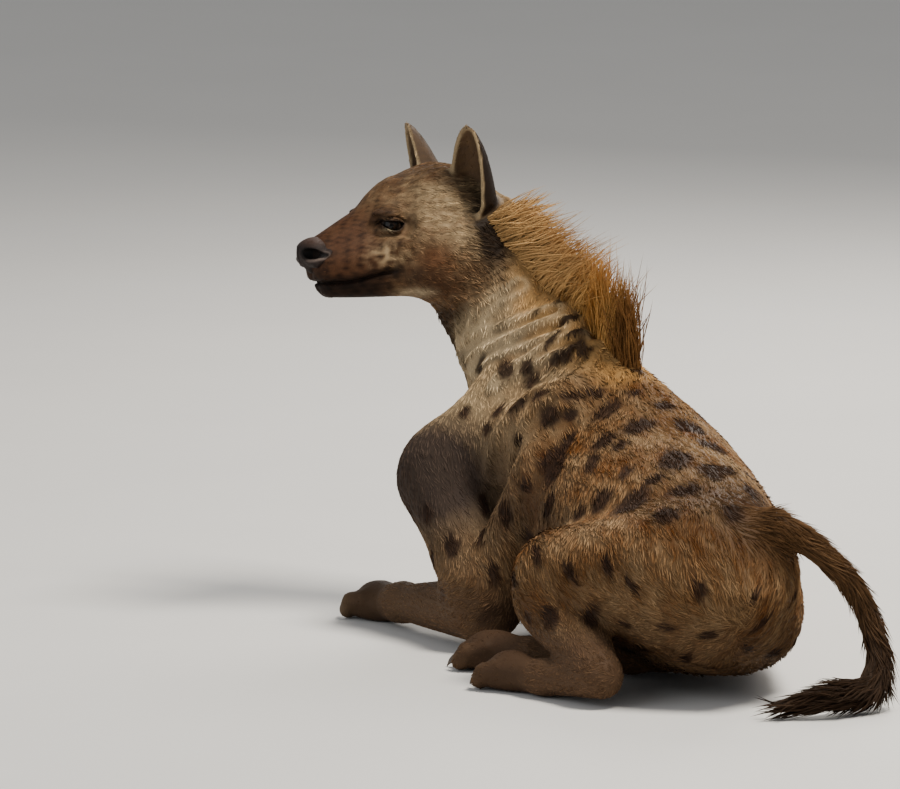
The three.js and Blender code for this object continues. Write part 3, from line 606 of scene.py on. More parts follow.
def slope(field, P, h=0.0006):
    """Outward direction of a field at points, and how steeply it rises there."""
    g = np.stack([in_parts(field, P + h * e) - in_parts(field, P - h * e) for e in np.eye(3)], 1)
    return unit(g), np.linalg.norm(g, axis=1) / (2 * h)


# Spots seen on the left side: middle x, y, z in metres, half length and half width in mm
SPOTS = [
    (-0.123, 0.074, 0.351, 30, 12), (-0.210, 0.067, 0.342, 30, 12), (-0.081, 0.070, 0.367, 30, 7),
    (-0.061, 0.095, 0.360, 25, 7), (-0.094, 0.120, 0.304, 18, 10), (-0.207, 0.145, 0.294, 18, 11),
    (-0.347, 0.089, 0.316, 30, 18), (-0.400, 0.056, 0.307, 22, 15), (-0.374, 0.172, 0.267, 36, 15),
    (-0.297, 0.180, 0.257, 25, 11), (-0.099, 0.146, 0.271, 32, 17), (-0.039, 0.119, 0.327, 22, 8),
    (-0.077, 0.104, 0.331, 16, 8), (-0.183, 0.114, 0.318, 25, 8), (-0.226, 0.112, 0.320, 16, 8),
    (0.116, 0.101, 0.372, 17, 12), (0.081, 0.086, 0.376, 15, 8), (0.059, 0.092, 0.364, 17, 7),
    (0.194, 0.105, 0.357, 18, 7), (0.077, 0.134, 0.325, 19, 7), (0.136, 0.154, 0.316, 12, 8),
    (0.076, 0.155, 0.300, 12, 7), (0.029, 0.129, 0.332, 20, 7), (-0.004, 0.111, 0.353, 22, 6),
    (0.032, 0.066, 0.390, 20, 6), (0.009, 0.043, 0.406, 25, 6), (-0.242, 0.003, 0.341, 30, 11),
    (-0.303, -0.001, 0.322, 26, 11), (-0.437, 0.014, 0.282, 16, 12), (-0.563, 0.041, 0.276, 25, 14),
    (-0.434, 0.120, 0.289, 30, 9), (-0.482, 0.176, 0.268, 25, 10), (-0.540, 0.095, 0.270, 22, 12),
    (-0.066, 0.164, 0.238, 16, 9), (-0.303, 0.142, 0.296, 18, 7), (-0.366, 0.135, 0.295, 20, 7),
    (-0.138, 0.177, 0.226, 25, 9), (-0.256, 0.193, 0.234, 20, 8), (-0.130, 0.035, 0.374, 18, 6),
    (-0.184, 0.012, 0.361, 20, 7), (-0.394, 0.027, 0.305, 16, 10), (-0.581, 0.071, 0.256, 20, 10),
    (0.201, 0.014, 0.516, 16, 5), (0.186, 0.022, 0.493, 14, 6), (0.170, 0.016, 0.488, 15, 5),
    (0.138, 0.010, 0.468, 16, 5), (0.156, 0.024, 0.474, 16, 3), (0.105, 0.014, 0.456, 20, 4),
    (0.062, 0.028, 0.436, 22, 4), (0.061, 0.056, 0.412, 26, 3), (0.128, 0.041, 0.439, 22, 3),
    (0.029, 0.036, 0.424, 20, 4), (0.025, 0.062, 0.398, 26, 4), (0.004, 0.040, 0.404, 20, 4),
]

# Patches laid over the body, and over each side of the head: colour, strength, middle and half size
BODY_PATCHES = [
    # Dark behind the ears and nape: dark hair together with painted shadow.
    ("spot", 0.55, (0.228, 0.045, 0.592), (0.04, 0.04, 0.03)),
    ("pale", 0.20, (-0.40, 0.02, 0.30), (0.09, 0.05, 0.04)),
    ("spot", 0.80, (-0.565, 0.05, 0.25), (0.085, 0.07, 0.06)),
    ("spot", 0.85, (-0.50, 0.01, 0.25), (0.09, 0.06, 0.06)),
    ("spot", 0.55, (-0.47, 0.10, 0.26), (0.08, 0.08, 0.05)),
]
FACE_PATCHES = [
    ("rust", 0.75, (0.163, 0.090, -0.018), (0.024, 0.03, 0.020)),
    ("muzzle", 0.80, (0.170, 0.075, -0.058), (0.040, 0.05, 0.024)),
    ("spot", 0.55, (0.142, 0.060, -0.040), (0.020, 0.03, 0.010)),
    ("white", 0.75, (0.146, 0.055, -0.066), (0.022, 0.03, 0.006)),
    ("spot", 0.80, (0.104, 0.045, 0.046), (0.024, 0.02, 0.011)),
    ("spot", 0.45, (0.116, 0.052, 0.003), (0.024, 0.02, 0.0035)),
    ("pale", 0.10, (0.120, 0.052, 0.011), (0.020, 0.02, 0.005)),
]


def tone(r, g, b):
    """A colour given as a screen would show it, in the linear values that materials use."""
    return tuple(((v / 255 + 0.055) / 1.055) ** 2.4 if v > 10 else v / 255 / 12.92 for v in (r, g, b))


def wave(P, size, seed, octaves=3):
    """Smooth noise between about -1 and 1 with features of a given size."""
    rng = np.random.default_rng(seed)
    total = np.zeros(len(P))
    for k in range(octaves):
        for _ in range(4):
            way = unit(rng.normal(size=3)) * 2 * math.pi / (size * rng.uniform(1.2, 2.4) / 1.8**k)
            total += np.sin(P @ way + rng.uniform(0, 2 * math.pi)) / 2**k
    return total / 4


def mix(a, b, share):
    a = np.asarray(a)
    return a + (np.asarray(b) - a) * np.asarray(share)[..., None]


def place_share(P, at, radii):
    """1 at a place, falling to 0 past the radii."""
    q = (P - vec(*at)) / vec(*radii)
    return np.exp(-dot(q, q))


def near_head(H, at, radii):
    """1 at a place on either side of the head, falling to 0 past the radii."""
    return place_share(mirrored(H), at, radii)


def lie(P, N):
    """The way the coat lies along the skin."""
    station, blended = spine.place(P)
    back, up = -blended(spine.ahead), blended(spine.up)
    side = 1 - np.abs(dot(N, up))
    D = back * 0.8 - vec(0, 0, 1) * (0.9 * side)[:, None]
    rods = LIMB_RODS + rods_of(LEFT_SHANK)
    away = distances(P, rods)
    ways = unit(np.array([vec(*b[:3]) - vec(*a[:3]) for a, b in rods]))[away.argmin(0)]
    D = D + (ways * 1.4 - D) * (1 - smooth(0.045, 0.085, away.min(0)))[:, None]
    away = distances(P, TAIL_RODS)
    ways = unit(np.diff(tail_line[:, :3], axis=0))[away.argmin(0)]
    D += (ways * 1.4 - D) * (1 - smooth(0.035, 0.075, away.min(0)))[:, None]
    H = to_head(P)
    out = np.abs(H[:, 1])
    face = -AHEAD + UP * (0.5 * smooth(0.02, 0.08, H[:, 2]) - 0.45 * smooth(0.03, 0.07, out))[:, None]
    face += LEFT * (0.5 * np.sign(H[:, 1]) * smooth(0.0, 0.03, out))[:, None]
    D += (face - D) * head_share(P)[:, None]
    _, lift, _, _ = ear_axes()
    on_ear = ears(H) < 0.004
    D[on_ear] = -AHEAD * lift[0] + UP * lift[2] + LEFT * (lift[1] * np.sign(H[on_ear, 1]))[:, None]
    D -= N * dot(D, N)[:, None]
    return unit(D)


class Markings:
    """Colour of the skin and coat at any place."""

    def __init__(self, coat, V, N):
        self.coat = coat
        rng = np.random.default_rng(coat.seed)
        spots = np.array(SPOTS)
        at, sizes = spots[:, :3], spots[:, 3:] / 1000
        H, shins = to_head(V), shin_distance(V)
        side = dot(N, vec(-0.87, 0.46, 0.15))
        free = (head_share(V) < 0.05) & (shins > 0.05) & (tail_distance(V, 0) > 0.06) & (V[:, 2] > 0.05)
        free &= (side < 0.15) | (V[:, 2] < 0.20)
        free &= ears(H) > 0.02
        chosen = V[rng.permutation(np.flatnonzero(free))[:2500]]
        kept = []
        for p in chosen:
            clear = np.min(np.linalg.norm(at - p, axis=1)) > 0.05
            if clear and all(np.linalg.norm(p - q) > 0.052 for q in kept):
                kept.append(p)
        kept = np.array(kept)
        more = np.stack([rng.uniform(0.013, 0.026, len(kept)), rng.uniform(0.007, 0.014, len(kept))], 1)
        self.at, self.sizes = np.vstack([at, kept]), np.vstack([sizes, more])
        nearest = [np.argmin(((V - p) ** 2).sum(1)) for p in self.at]
        self.out = N[nearest]
        self.way = lie(self.at, self.out)
        slant = np.radians(-12 + 50 * smooth(-0.10, 0.10, at[:, 0]))[:, None]
        way = vec(-0.469, -0.883, 0) * np.cos(slant) + vec(0, 0, 1) * np.sin(slant)
        out = self.out[: len(at)]
        self.way[: len(at)] = unit(way - out * dot(way, out)[:, None])
        facing = np.abs(dot(out, vec(0.873, -0.463, -0.153)))
        self.sizes[: len(at)] *= np.stack([np.full(len(at), 0.9), 1.1 / np.clip(facing, 0.5, 1)], 1)

    def spots(self, P):
        shade = np.zeros(len(P))
        wobble = 1 + 0.25 * wave(P, 0.02, 5)
        for c, (long, wide), d, n in zip(self.at, self.sizes, self.way, self.out):
            q = P - c
            close = np.abs(q).max(1) < long * 1.8
            if not close.any():
                continue
            q = q[close]
            across, deep = q @ np.cross(n, d) / wide, q @ n / (2 * wide + 0.01)
            k = np.sqrt((q @ d / long) ** 2 + across**2 + deep**2)
            shade[close] = np.maximum(shade[close], 1 - smooth(0.62, 1.25, k * wobble[close]))
        return shade

    def patched(self, C, patches, P):
        """Colours with each patch of a list laid over them."""
        for name, strength, at, radii in patches:
            C = mix(C, getattr(self.coat, name), strength * place_share(P, at, radii))
        return C

    def body(self, P, fur):
        """Tawny trunk, pale neck, dark legs and tail, spots, and painted shade and highlights."""
        coat, share, z = self.coat, head_share(P), P[:, 2]
        station, blended = spine.place(P)
        over = dot(unit(P - blended(spine.middle)), blended(spine.up))
        neck = smooth(6.3, 8.2, station)
        C = mix(coat.tawny, coat.pale, 0.06 + 0.26 * fur + 0.36 * smooth(4.4, 6.6, station))
        C = mix(C, coat.pale, (0.62 + 0.45 * fur) * neck * smooth(0.95, 0.3, over))
        C = mix(C, coat.mane, 0.6 * smooth(0.055, 0.010, crest.field(P)) * smooth(0.3, 0.9, over))
        # Painted shade: the trunk darkens toward the floor.
        C = mix(C, coat.low_shade, 0.6 * smooth(0.17, 0.07, z) * (1 - neck))
        C = mix(C, coat.wet, 0.40 * place_share(P, (-0.10, 0.17, 0.20), (0.16, 0.10, 0.06)))
        C = mix(C, coat.wet, np.minimum(1.5 * place_share(P, *WET_SHOULDER), 0.97))
        # Black on the front of the throat: dark wet hair together with painted shade.
        C = mix(C, coat.black, 0.85 * smooth(0.252, 0.282, P[:, 0]) * neck * smooth(0.52, 0.47, z))
        C = self.patched(C, BODY_PATCHES, P)
        streaks = smooth(0.1, 0.75, wave(P * vec(1.0, 0.5, 0.5), 0.022, 8))
        streaks = streaks * smooth(5.6, 6.6, station) * (1 - smooth(10.2, 11.0, station))
        C = mix(C, coat.spot, (0.35 + 0.25 * smooth(0.3, 0.75, over)) * streaks * smooth(-0.1, 0.5, over))
        # Painted shade in the fold grooves, and painted highlights on the ridges beside them.
        fold = fold_depth(P)
        C = mix(C, coat.spot, 0.60 * np.clip(fold / 0.008, 0, 1) * (1 - share))
        C = mix(C, coat.white, 0.45 * np.clip(-fold / 0.003, 0, 1) * neck)
        C = mix(C, coat.spot, 0.95 * self.spots(P) * ((1 - share) * (1 - 0.8 * smooth(8.2, 9.2, station))))
        C = mix(C, coat.shin, 0.8 * (1 - smooth(0.035, 0.085, shin_distance(P))))
        C = mix(C, coat.spot, 0.45 * (1 - smooth(0.03, 0.075, paw_distance(P))))
        away = distances(P, TAIL_RODS)
        tail = mix(coat.tawny, coat.black, 0.35 + 0.60 * smooth(1, 10, away.argmin(0)))
        return mix(C, tail, 0.9 * (1 - smooth(0.03, 0.055, away.min(0))))

    def face(self, P, H, fur, mottle):
        """Brown muzzle, pale cheeks, dark lips and lids, with painted shade and painted highlights."""
        coat = self.coat
        A = mirrored(H)
        back, out, up = A.T
        fine = wave(P * vec(1, 0.6, 1), 0.0042, 16, 2)
        F = mix(coat.brow, coat.pale, 0.02 + 0.10 * fur + 0.16 * mottle)
        cheek = smooth(0.125, 0.175, back) * smooth(0.100, 0.070, up) * smooth(-0.035, 0.01, up)
        F = mix(F, coat.pale, 0.74 * cheek * (0.75 + 0.5 * mottle + 0.25 * fine))
        F = mix(F, coat.spot, 0.48 * smooth(0.062, 0.100, up))
        # Black under the lower jaw: dark wet hair together with painted shade.
        F = mix(F, coat.black, 0.75 * smooth(-0.078, -0.100, up) * smooth(0.25, 0.21, back))
        F = mix(F, coat.muzzle, 0.92 * smooth(0.150, 0.075, back + 0.35 * np.maximum(up - 0.01, 0)))
        F = mix(F, coat.spot, 0.5 * smooth(0.040, 0.020, back))
        F = mix(F, coat.muzzle, 0.55 * place_share(A, (0.160, 0.080, -0.010), (0.035, 0.04, 0.030)))
        whiskers = place_share(A, (0.112, 0.060, -0.012), (0.027, 0.03, 0.016))
        F = mix(F, coat.pale, np.clip(0.42 + 0.7 * fine + 0.5 * mottle, 0.0, 1) * whiskers)
        F = self.patched(F, FACE_PATCHES, A)
        F = mix(F, coat.black, 0.45 * smooth(0.2, 0.9, fine) * smooth(0.15, 0.10, back))
        F = mix(F, coat.black, 0.80 * smooth(-0.046, -0.052, up) * smooth(0.130, 0.095, back))
        F = mix(F, coat.rust, 0.25 * smooth(0.3, 0.8, wave(P, 0.02, 11)) * smooth(0.09, 0.14, back))
        lines = smooth(-0.1, 0.6, wave(H * vec(0.35, 1, 1), 0.008, 12))
        F = mix(F, coat.spot, 0.50 * (lines * smooth(0.03, 0.07, up) * smooth(0.10, 0.14, back)))
        lips = np.exp(-((up - lip_line(back)) / 0.0085) ** 2) * smooth(0.135, 0.120, back)
        F = mix(F, coat.black, 0.94 * lips)
        rim = np.exp(-np.maximum(aperture(A) - 0.0006, 0) / 0.0030) * smooth(0.030, 0.038, out)
        F = mix(F, coat.black, np.minimum(1.15 * rim, 0.97))
        # Painted highlight: a white glint along each lower lid.
        F = mix(F, coat.white, 0.65 * place_share(A, (0.114, 0.054, 0.0215), (0.008, 0.02, 0.0016)))
        # Painted shade inside the nostrils.
        F = mix(F, coat.black, smooth(0.004, 0.001, nostril(A)) * smooth(0.05, 0.04, back))
        # Dark behind the ear: dark hair together with painted shadow.
        F = mix(F, coat.spot, 0.65 * place_share(A, (0.262, 0.092, 0.054), (0.030, 0.040, 0.030)))
        return F * (1 + (0.30 + 0.45 * smooth(0.15, 0.10, back)) * np.clip(fine, -1, 1))[:, None]

    def ear(self, H, mottle):
        """Brown inside with painted shade in the hollow, a pale edge, and a back of dark hair with painted
        shade.
        """
        coat = self.coat
        h, o, l = ear_place(H)
        tall = h / EAR["height"]
        t, wide, deep = ear_section(h, 0.01)
        outer = smooth(0.98, 1.02, np.sqrt((l / wide) ** 2 + (o / deep) ** 2))
        edge = smooth(0.0040, 0.0015, ear_front(t) - o)
        # Painted shade deep in the hollow of the ear.
        hollow = (1 - outer) * smooth(0.85, 0.30, tall) * smooth(0.6, -0.5, l / wide + 0.25 * mottle)
        # The back of the ear: dark hair, with painted shade deepening it toward the foot.
        back = outer * (0.50 + 0.45 * smooth(0.9, -0.4, l / wide)) * smooth(1.15, 0.75, tall)
        E = mix(coat.brow, coat.wet, 0.22 + 0.40 * mottle)
        E = mix(E, coat.black, 0.70 * hollow)
        E = mix(E, coat.black, back)
        return mix(E, coat.pale, 0.80 * edge * smooth(1.05, 0.85, tall))

    def colour(self, P):
        """The body's colours, with those of the head and the ears laid over them, and dark hair with painted
        shadow behind the ears.
        """
        H = to_head(P)
        fur = wave(P, 0.05, 3) * 0.5 + wave(P, 0.012, 4) * 0.5
        mottle = 0.6 * wave(P, 0.006, 14, 2) + 0.4 * wave(P, 0.015, 15, 2)
        on_ear = smooth(0.006, 0.001, ears(H))
        C = mix(self.body(P, fur), self.face(P, H, fur, mottle), head_share(P))
        C = mix(C, self.ear(H, mottle), on_ear)
        # Black behind the ears: dark hair together with painted shadow.
        behind = near_head(H, (0.240, 0.100, 0.014), (0.026, 0.045, 0.050))
        return mix(C, self.coat.black, np.minimum(1.6 * behind, 0.96) * (1 - on_ear))


def make_mesh(name, V, faces, smooth_faces=False, colour=None, uv=None):
    """A mesh object from arrays of corners and of triangles or quads."""
    sides = faces.shape[1]
    if len(faces) * (sides - 2) >= MOST_TRIANGLES:
        raise RuntimeError(f"{name} has {len(faces)} faces")
    mesh = bpy.data.meshes.new(name)
    mesh.vertices.add(len(V))
    mesh.vertices.foreach_set("co", np.asarray(V, np.float32).ravel())
    mesh.loops.add(faces.size)
    mesh.loops.foreach_set("vertex_index", faces.astype(np.int32).ravel())
    mesh.polygons.add(len(faces))
    mesh.polygons.foreach_set("loop_start", np.arange(0, faces.size, sides, dtype=np.int32))
    mesh.polygons.foreach_set("use_smooth", np.full(len(faces), smooth_faces))
    if uv is not None:
        layer = mesh.uv_layers.new(name="OFBake")
        layer.uv.foreach_set("vector", uv[faces.ravel()].astype(np.float32).ravel())
    if colour is not None:
        layer = mesh.color_attributes.new("coat_colour", "FLOAT_COLOR", "POINT")
        rgba = np.concatenate([np.clip(colour, 0, 1), np.ones((len(V), 1))], 1)
        layer.data.foreach_set("color", rgba.astype(np.float32).ravel())
    mesh.update(calc_edges=True)
    if mesh.validate():
        raise RuntimeError(f"{name} had faulty faces")
    obj = bpy.data.objects.new(name, mesh)
    bpy.context.scene.collection.objects.link(obj)
    return obj


def ride(obj, material, nodes=()):
    """Gives a piece its material and slot, and the nodes that it stands for."""
    obj.data.materials.append(material)
    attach(obj, "root")
    if nodes:
        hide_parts(*nodes)
    return obj


# Skin, markings and coat material, shared by the operators that stand on them
shape = {}


def skin_grid(cell, fine):
    """Grid lines, close together across the head and closest at the eyes, lips and ears."""
    x = [(0.206, 0.462, fine), (0.286, 0.312, fine * 0.5), (0.372, 0.398, fine * 0.5)]
    x += [(0.398, 0.436, fine * 0.7)]
    y = [(0.0, 0.300, fine), (0.156, 0.192, fine * 0.5), (0.036, 0.100, fine * 0.75)]
    z = [(0.435, 0.68, fine), (0.526, 0.558, fine * 0.5), (0.457, 0.480, fine * 0.6)]
    return [spacing(-0.735, 0.47, cell, x), spacing(-0.245, 0.36, cell, y), spacing(-0.008, 0.69, cell, z)]


def build_skin(body):
    """The surface of the skin's field, moved onto it in two steps, with its normals."""
    V, quads = nets(skin_field, skin_grid(body.cell, body.head_cell))
    for _ in range(2):
        N, steep = slope(skin_field, V)
        step = np.clip(in_parts(skin_field, V) / np.maximum(steep, 0.3), -0.0008, 0.0008)
        V = V - N * step[:, None]
    N, _ = slope(skin_field, V)
    return V, quads, N


def scatter(spacing_of, seed):
    """Roots over the skin, about as far apart as the spacing at each place, with normals."""
    V, quads, N = shape["V"], shape["quads"], shape["N"]
    rng = np.random.default_rng(seed)
    tris = np.vstack([quads[:, [0, 1, 2]], quads[:, [0, 2, 3]]])
    a, b, c = V[tris[:, 0]], V[tris[:, 1]], V[tris[:, 2]]
    area = np.linalg.norm(np.cross(b - a, c - a), axis=1) / 2
    gap = spacing_of((a + b + c) / 3)
    count = rng.poisson(area / gap**2 * 3.0)
    which = np.repeat(np.arange(len(tris)), count)
    r = rng.random((len(which), 2))
    flip = r.sum(1) > 1
    r[flip] = 1 - r[flip]
    weights = np.stack([1 - r.sum(1), r[:, 0], r[:, 1]], 1)[:, :, None]
    P, n = (V[tris[which]] * weights).sum(1), unit((N[tris[which]] * weights).sum(1))
    level = np.round(np.log2(gap[which] / 0.002) * 2).astype(int)
    size = 0.002 * 2 ** (level / 2) * 1.22
    key = np.floor(P / size[:, None]).astype(np.int64)
    key = ((level * 4096 + key[:, 0] + 2048) * 4096 + key[:, 1] + 2048) * 4096 + key[:, 2] + 2048
    _, first = np.unique(key, return_index=True)
    return P[first], n[first]


def clumped(P, size, seed):
    """For each root the middle of its group, the groups being about one size across."""
    shift = np.random.default_rng(seed).uniform(0, 1, 3)
    key = np.floor(P / size + shift).astype(np.int64) + 1024
    _, group = np.unique((key[:, 0] * 4096 + key[:, 1]) * 4096 + key[:, 2], return_inverse=True)
    group = group.ravel()
    count = np.bincount(group)
    return np.stack([np.bincount(group, P[:, k]) / count for k in range(3)], 1)[group]


def locks(P, N, D, length, width, lift, colour, tips, uv, seed, pull, rings, droop, clump, root):
    """Solid tapering locks, three-sided, from roots P along D: corners, triangles, colours and map."""
    rng = np.random.default_rng(seed)
    n = len(P)
    turn = rng.normal(0, 0.16, n)[:, None]
    side = unit(np.cross(N, D))
    D = unit(D + side * turn)
    side = unit(np.cross(N, D))
    L = (length * rng.uniform(0.72, 1.2, n))[:, None]
    rise = (lift * rng.uniform(0.65, 1.35, n))[:, None]
    gather = (clumped(P, clump, seed + 3) - P) * pull
    gather -= N * dot(gather, N)[:, None]
    w = (width * rng.uniform(0.8, 1.25, n))[:, None]

    def at(t):
        return P - N * 0.0008 + D * L * t + N * L * (rise * t - droop * rise * t * t) + gather * t

    corners, tints = [], []
    for t in rings:
        c, wide = at(t), w * (1 - 0.35 * t)
        corners += [c - side * wide / 2, c + side * wide / 2, c + N * wide * 0.42 + N * 0.0002]
        # Painted shade at the roots: a lock is darkest at its root, by the share root.
        tints += [mix(colour * (root + (1 - root) * min(t / 0.42, 1)), tips, t * t)] * 3
    corners.append(at(1.0))
    tints.append(tips)
    k = 3 * len(rings) + 1
    V = np.stack(corners, 1).reshape(-1, 3)
    C = np.stack(tints, 1).reshape(-1, 3)
    faces = [(0, 2, 1)]
    for r in range(len(rings) - 1):
        for j in range(3):
            a, b = 3 * r + j, 3 * r + (j + 1) % 3
            faces += [(a, b, a + 3), (b, b + 3, a + 3)]
    r = 3 * (len(rings) - 1)
    faces += [(r + j, r + (j + 1) % 3, k - 1) for j in range(3)]
    faces = (np.array(faces)[None] + (np.arange(n) * k)[:, None, None]).reshape(-1, 3)
    patch = [(-0.0015, -0.0015 + 0.003 * t) for t in rings for _ in range(3)] + [(0, 0.0015)]
    patch = np.array(patch)
    patch[1 : k - 1 : 3, 0], patch[2 : k - 1 : 3, 0] = 0.0015, 0
    return V, faces, C, (uv[:, None] + patch[None]).reshape(-1, 2)


# First and last station of each band of the coat
BANDS = {
    "rump": (0.0, 2.2),
    "flank": (2.2, 3.7),
    "ribs": (3.7, 5.2),
    "shoulder": (5.2, 6.7),
    "neck": (6.7, 11.0),
}
# Where the face ends and the crown begins, back from the nose
FACE_END = 0.145


def around(P, a, b):
    """Share along a rod and turn round it, both from 0 to 1."""
    a, b = vec(*a[:3]), vec(*b[:3])
    way = unit(b - a)
    side = unit(np.cross(vec(0, 0, 1), way))
    q = P - a
    turn = np.arctan2(q @ side, q @ np.cross(way, side)) / (2 * math.pi) + 0.5
    return np.clip(q @ way / np.linalg.norm(b - a), 0, 1), turn


def pieces(P):
    """Name of the coat piece that each root belongs to, and its place on that piece's unwrap."""
    H, (station, blended) = to_head(P), spine.place(P)
    share = head_share(P)
    q = P - blended(spine.middle)
    out, high = dot(q, blended(spine.side)), dot(q, blended(spine.up))
    name = np.empty(len(P), object)
    uv = np.zeros((len(P), 2))
    for band, (low, top) in BANDS.items():
        m = (station >= low) & (station <= top)
        uv[m, 0] = (station[m] - low) / (top - low)
        for side, sign in (("left", 1), ("right", -1)):
            name[m & (out * sign >= 0)] = f"coat_{band}_{side}"
    uv[:, 1] = np.arctan2(np.abs(out), high) / math.pi
    m = share > 0.5
    back = H[m, 0]
    name[m] = np.where(back < FACE_END, "coat_face", "coat_crown")
    uv[m, 0] = np.where(back < FACE_END, back / FACE_END, (back - FACE_END) / 0.2)
    uv[m, 1] = np.arctan2(H[m, 1], H[m, 2]) / (2 * math.pi) + 0.5
    away = distances(P, LIMB_RODS)
    m = (away.min(0) < 0.062) & (share < 0.1)
    for i, (a, b) in enumerate(LIMB_RODS):
        n = m & (away.argmin(0) == i)
        along, turn = around(P[n], a, b)
        name[n] = "coat_forelegs" if i < FORE_RODS else "coat_hind_legs"
        uv[n, 0], uv[n, 1] = (i % FORE_RODS + turn) / FORE_RODS, along
    away = distances(P, TAIL_RODS)
    m = away.min(0) < 0.036
    for i, (a, b) in enumerate(TAIL_RODS):
        n = m & (away.argmin(0) == i)
        along, turn = around(P[n], a, b)
        name[n] = "coat_tail"
        uv[n, 0], uv[n, 1] = turn, (i + along) / len(TAIL_RODS)
    h, o, l = ear_place(H)
    m = ears(H) < 0.003
    chart = 2 * (H[m, 1] > 0) + (np.abs(l[m]) + o[m] > 0)
    name[m] = "coat_ears"
    uv[m, 0] = (chart + np.clip(l[m] / 0.11 + 0.5, 0, 1)) / 4
    uv[m, 1] = np.clip((h[m] + 0.02) / 0.14, 0, 1)
    return name, 0.002 + 0.996 * np.clip(uv, 0, 1)


class Value:
    """A number inside a material, for sums written as Python."""

    def __init__(self, graph, socket):
        self.graph, self.socket = graph, socket

    def maths(self, operation, a, b):
        return self.graph.value("ShaderNodeMath", {"operation": operation}, {0: a, 1: b})

    def __add__(self, other):
        return self.maths("ADD", self, other)

    def __mul__(self, other):
        return self.maths("MULTIPLY", self, other)

    __radd__, __rmul__ = __add__, __mul__


class Graph:
    """A material's nodes, ending in one principled surface."""

    def __init__(self, name, **constants):
        self.material = bpy.data.materials.new(name)
        self.material.use_nodes = True
        self.tree = self.material.node_tree
        self.surface = self.tree.nodes["Principled BSDF"]
        for socket, v in constants.items():
            self.surface.inputs[socket.replace("_", " ")].default_value = v

    def node(self, kind, settings=(), sockets=()):
        made = self.tree.nodes.new(kind)
        for key, v in dict(settings).items():
            setattr(made, key, v)
        for key, v in dict(sockets).items():
            self.put(made.inputs[key], v)
        return made

    def value(self, kind, settings=(), sockets=(), output=0):
        return Value(self, self.node(kind, settings, sockets).outputs[output])

    def put(self, socket, v):
        if isinstance(v, Value):
            self.tree.links.new(v.socket, socket)
        else:
            socket.default_value = v

    def out(self, **sockets):
        for key, v in sockets.items():
            self.put(self.surface.inputs[key.replace("_", " ")], v)
        return self.material

    def texture(self, kind, **sockets):
        """A texture laid out in the object's own coordinates."""
        return self.value(kind, {}, {"Vector": self.value("ShaderNodeTexCoord", output="Object"), **sockets})

    def noise(self, scale, detail=3.0, roughness=0.5):
        return self.texture("ShaderNodeTexNoise", Scale=scale, Detail=detail, Roughness=roughness)

    def blended(self, way, a, b, share):
        settings = {"data_type": "RGBA", "blend_type": way}
        return self.value("ShaderNodeMix", settings, {"Factor": share, 6: a, 7: b}, 2)

    def shaded(self, colour, light):
        """The colour made lighter or darker by a number about 1."""
        grey = self.value("ShaderNodeCombineColor", {}, {"Red": light, "Green": light, "Blue": light})
        return self.blended("MULTIPLY", colour, grey, 1.0)

    def painted(self):
        """The colour stored at the corners of the mesh."""
        return self.value("ShaderNodeAttribute", {"attribute_name": "coat_colour"}, (), "Color")

    def bump(self, height, strength, distance):
        sockets = {"Height": height, "Strength": strength, "Distance": distance}
        return self.value("ShaderNodeBump", {}, sockets, "Normal")


def coat_material():
    g = Graph("coat", Specular_IOR_Level=0.07)
    strand = g.noise(420.0, 2.0)
    return g.out(Base_Color=g.shaded(g.painted(), strand * 0.9 + 0.55), Roughness=strand * 0.3 + 0.55)


def skin_material():
    g = Graph("skin", Specular_IOR_Level=0.10)
    grain = g.noise(900.0)
    colour = g.shaded(g.painted(), grain * 0.8 + 0.5)
    return g.out(Base_Color=colour, Roughness=grain * 0.3 + 0.5, Normal=g.bump(grain, 0.35, 0.0008))


def eye_material():
    g = Graph("eye", Roughness=0.08, IOR=1.34, Specular_IOR_Level=0.3)
    return g.out(Base_Color=g.shaded(g.painted(), g.noise(1500.0, 2.0) * 0.6 + 0.7))


def nose_material():
    g = Graph("nose", Specular_IOR_Level=0.14)
    grain = g.noise(600.0, 4.0)
    pebbles = g.bump(g.texture("ShaderNodeTexVoronoi", Scale=900.0), 0.7, 0.0006)
    colour = g.shaded(g.painted(), grain * 0.7 + 0.65)
    return g.out(Base_Color=colour, Roughness=grain * 0.3 + 0.46, Normal=pebbles)


def claw_material():
    g = Graph("claw")
    grain = g.noise(260.0, 4.0, 0.6)
    colour = g.blended("MIX", (*tone(34, 27, 23), 1), (*tone(88, 72, 58), 1), grain)
    return g.out(Base_Color=colour, Roughness=grain * 0.25 + 0.3, Normal=g.bump(grain, 0.3, 0.0006))


def metres(label, about, default):
    return FloatProperty(name=label, description=about, default=default, unit="LENGTH")


def number(label, about, default):
    return FloatProperty(name=label, description=about, default=default)


def paint(label, about, *rgb):
    """A colour that is stated as a screen shows it."""
    return FloatVectorProperty(name=label, description=about, default=tone(*rgb), subtype="COLOR")


class BodySettings(PropertyGroup):
    cell: metres("Skin cell", "Grid spacing of the skin", 0.0078)
    head_cell: metres("Head cell", "Grid spacing of the head", 0.0040)
    claw_length: metres("Claw length", "Claw outside the toe", 0.016)
    claw_radius: metres("Claw radius", "Claw at its root", 0.0038)


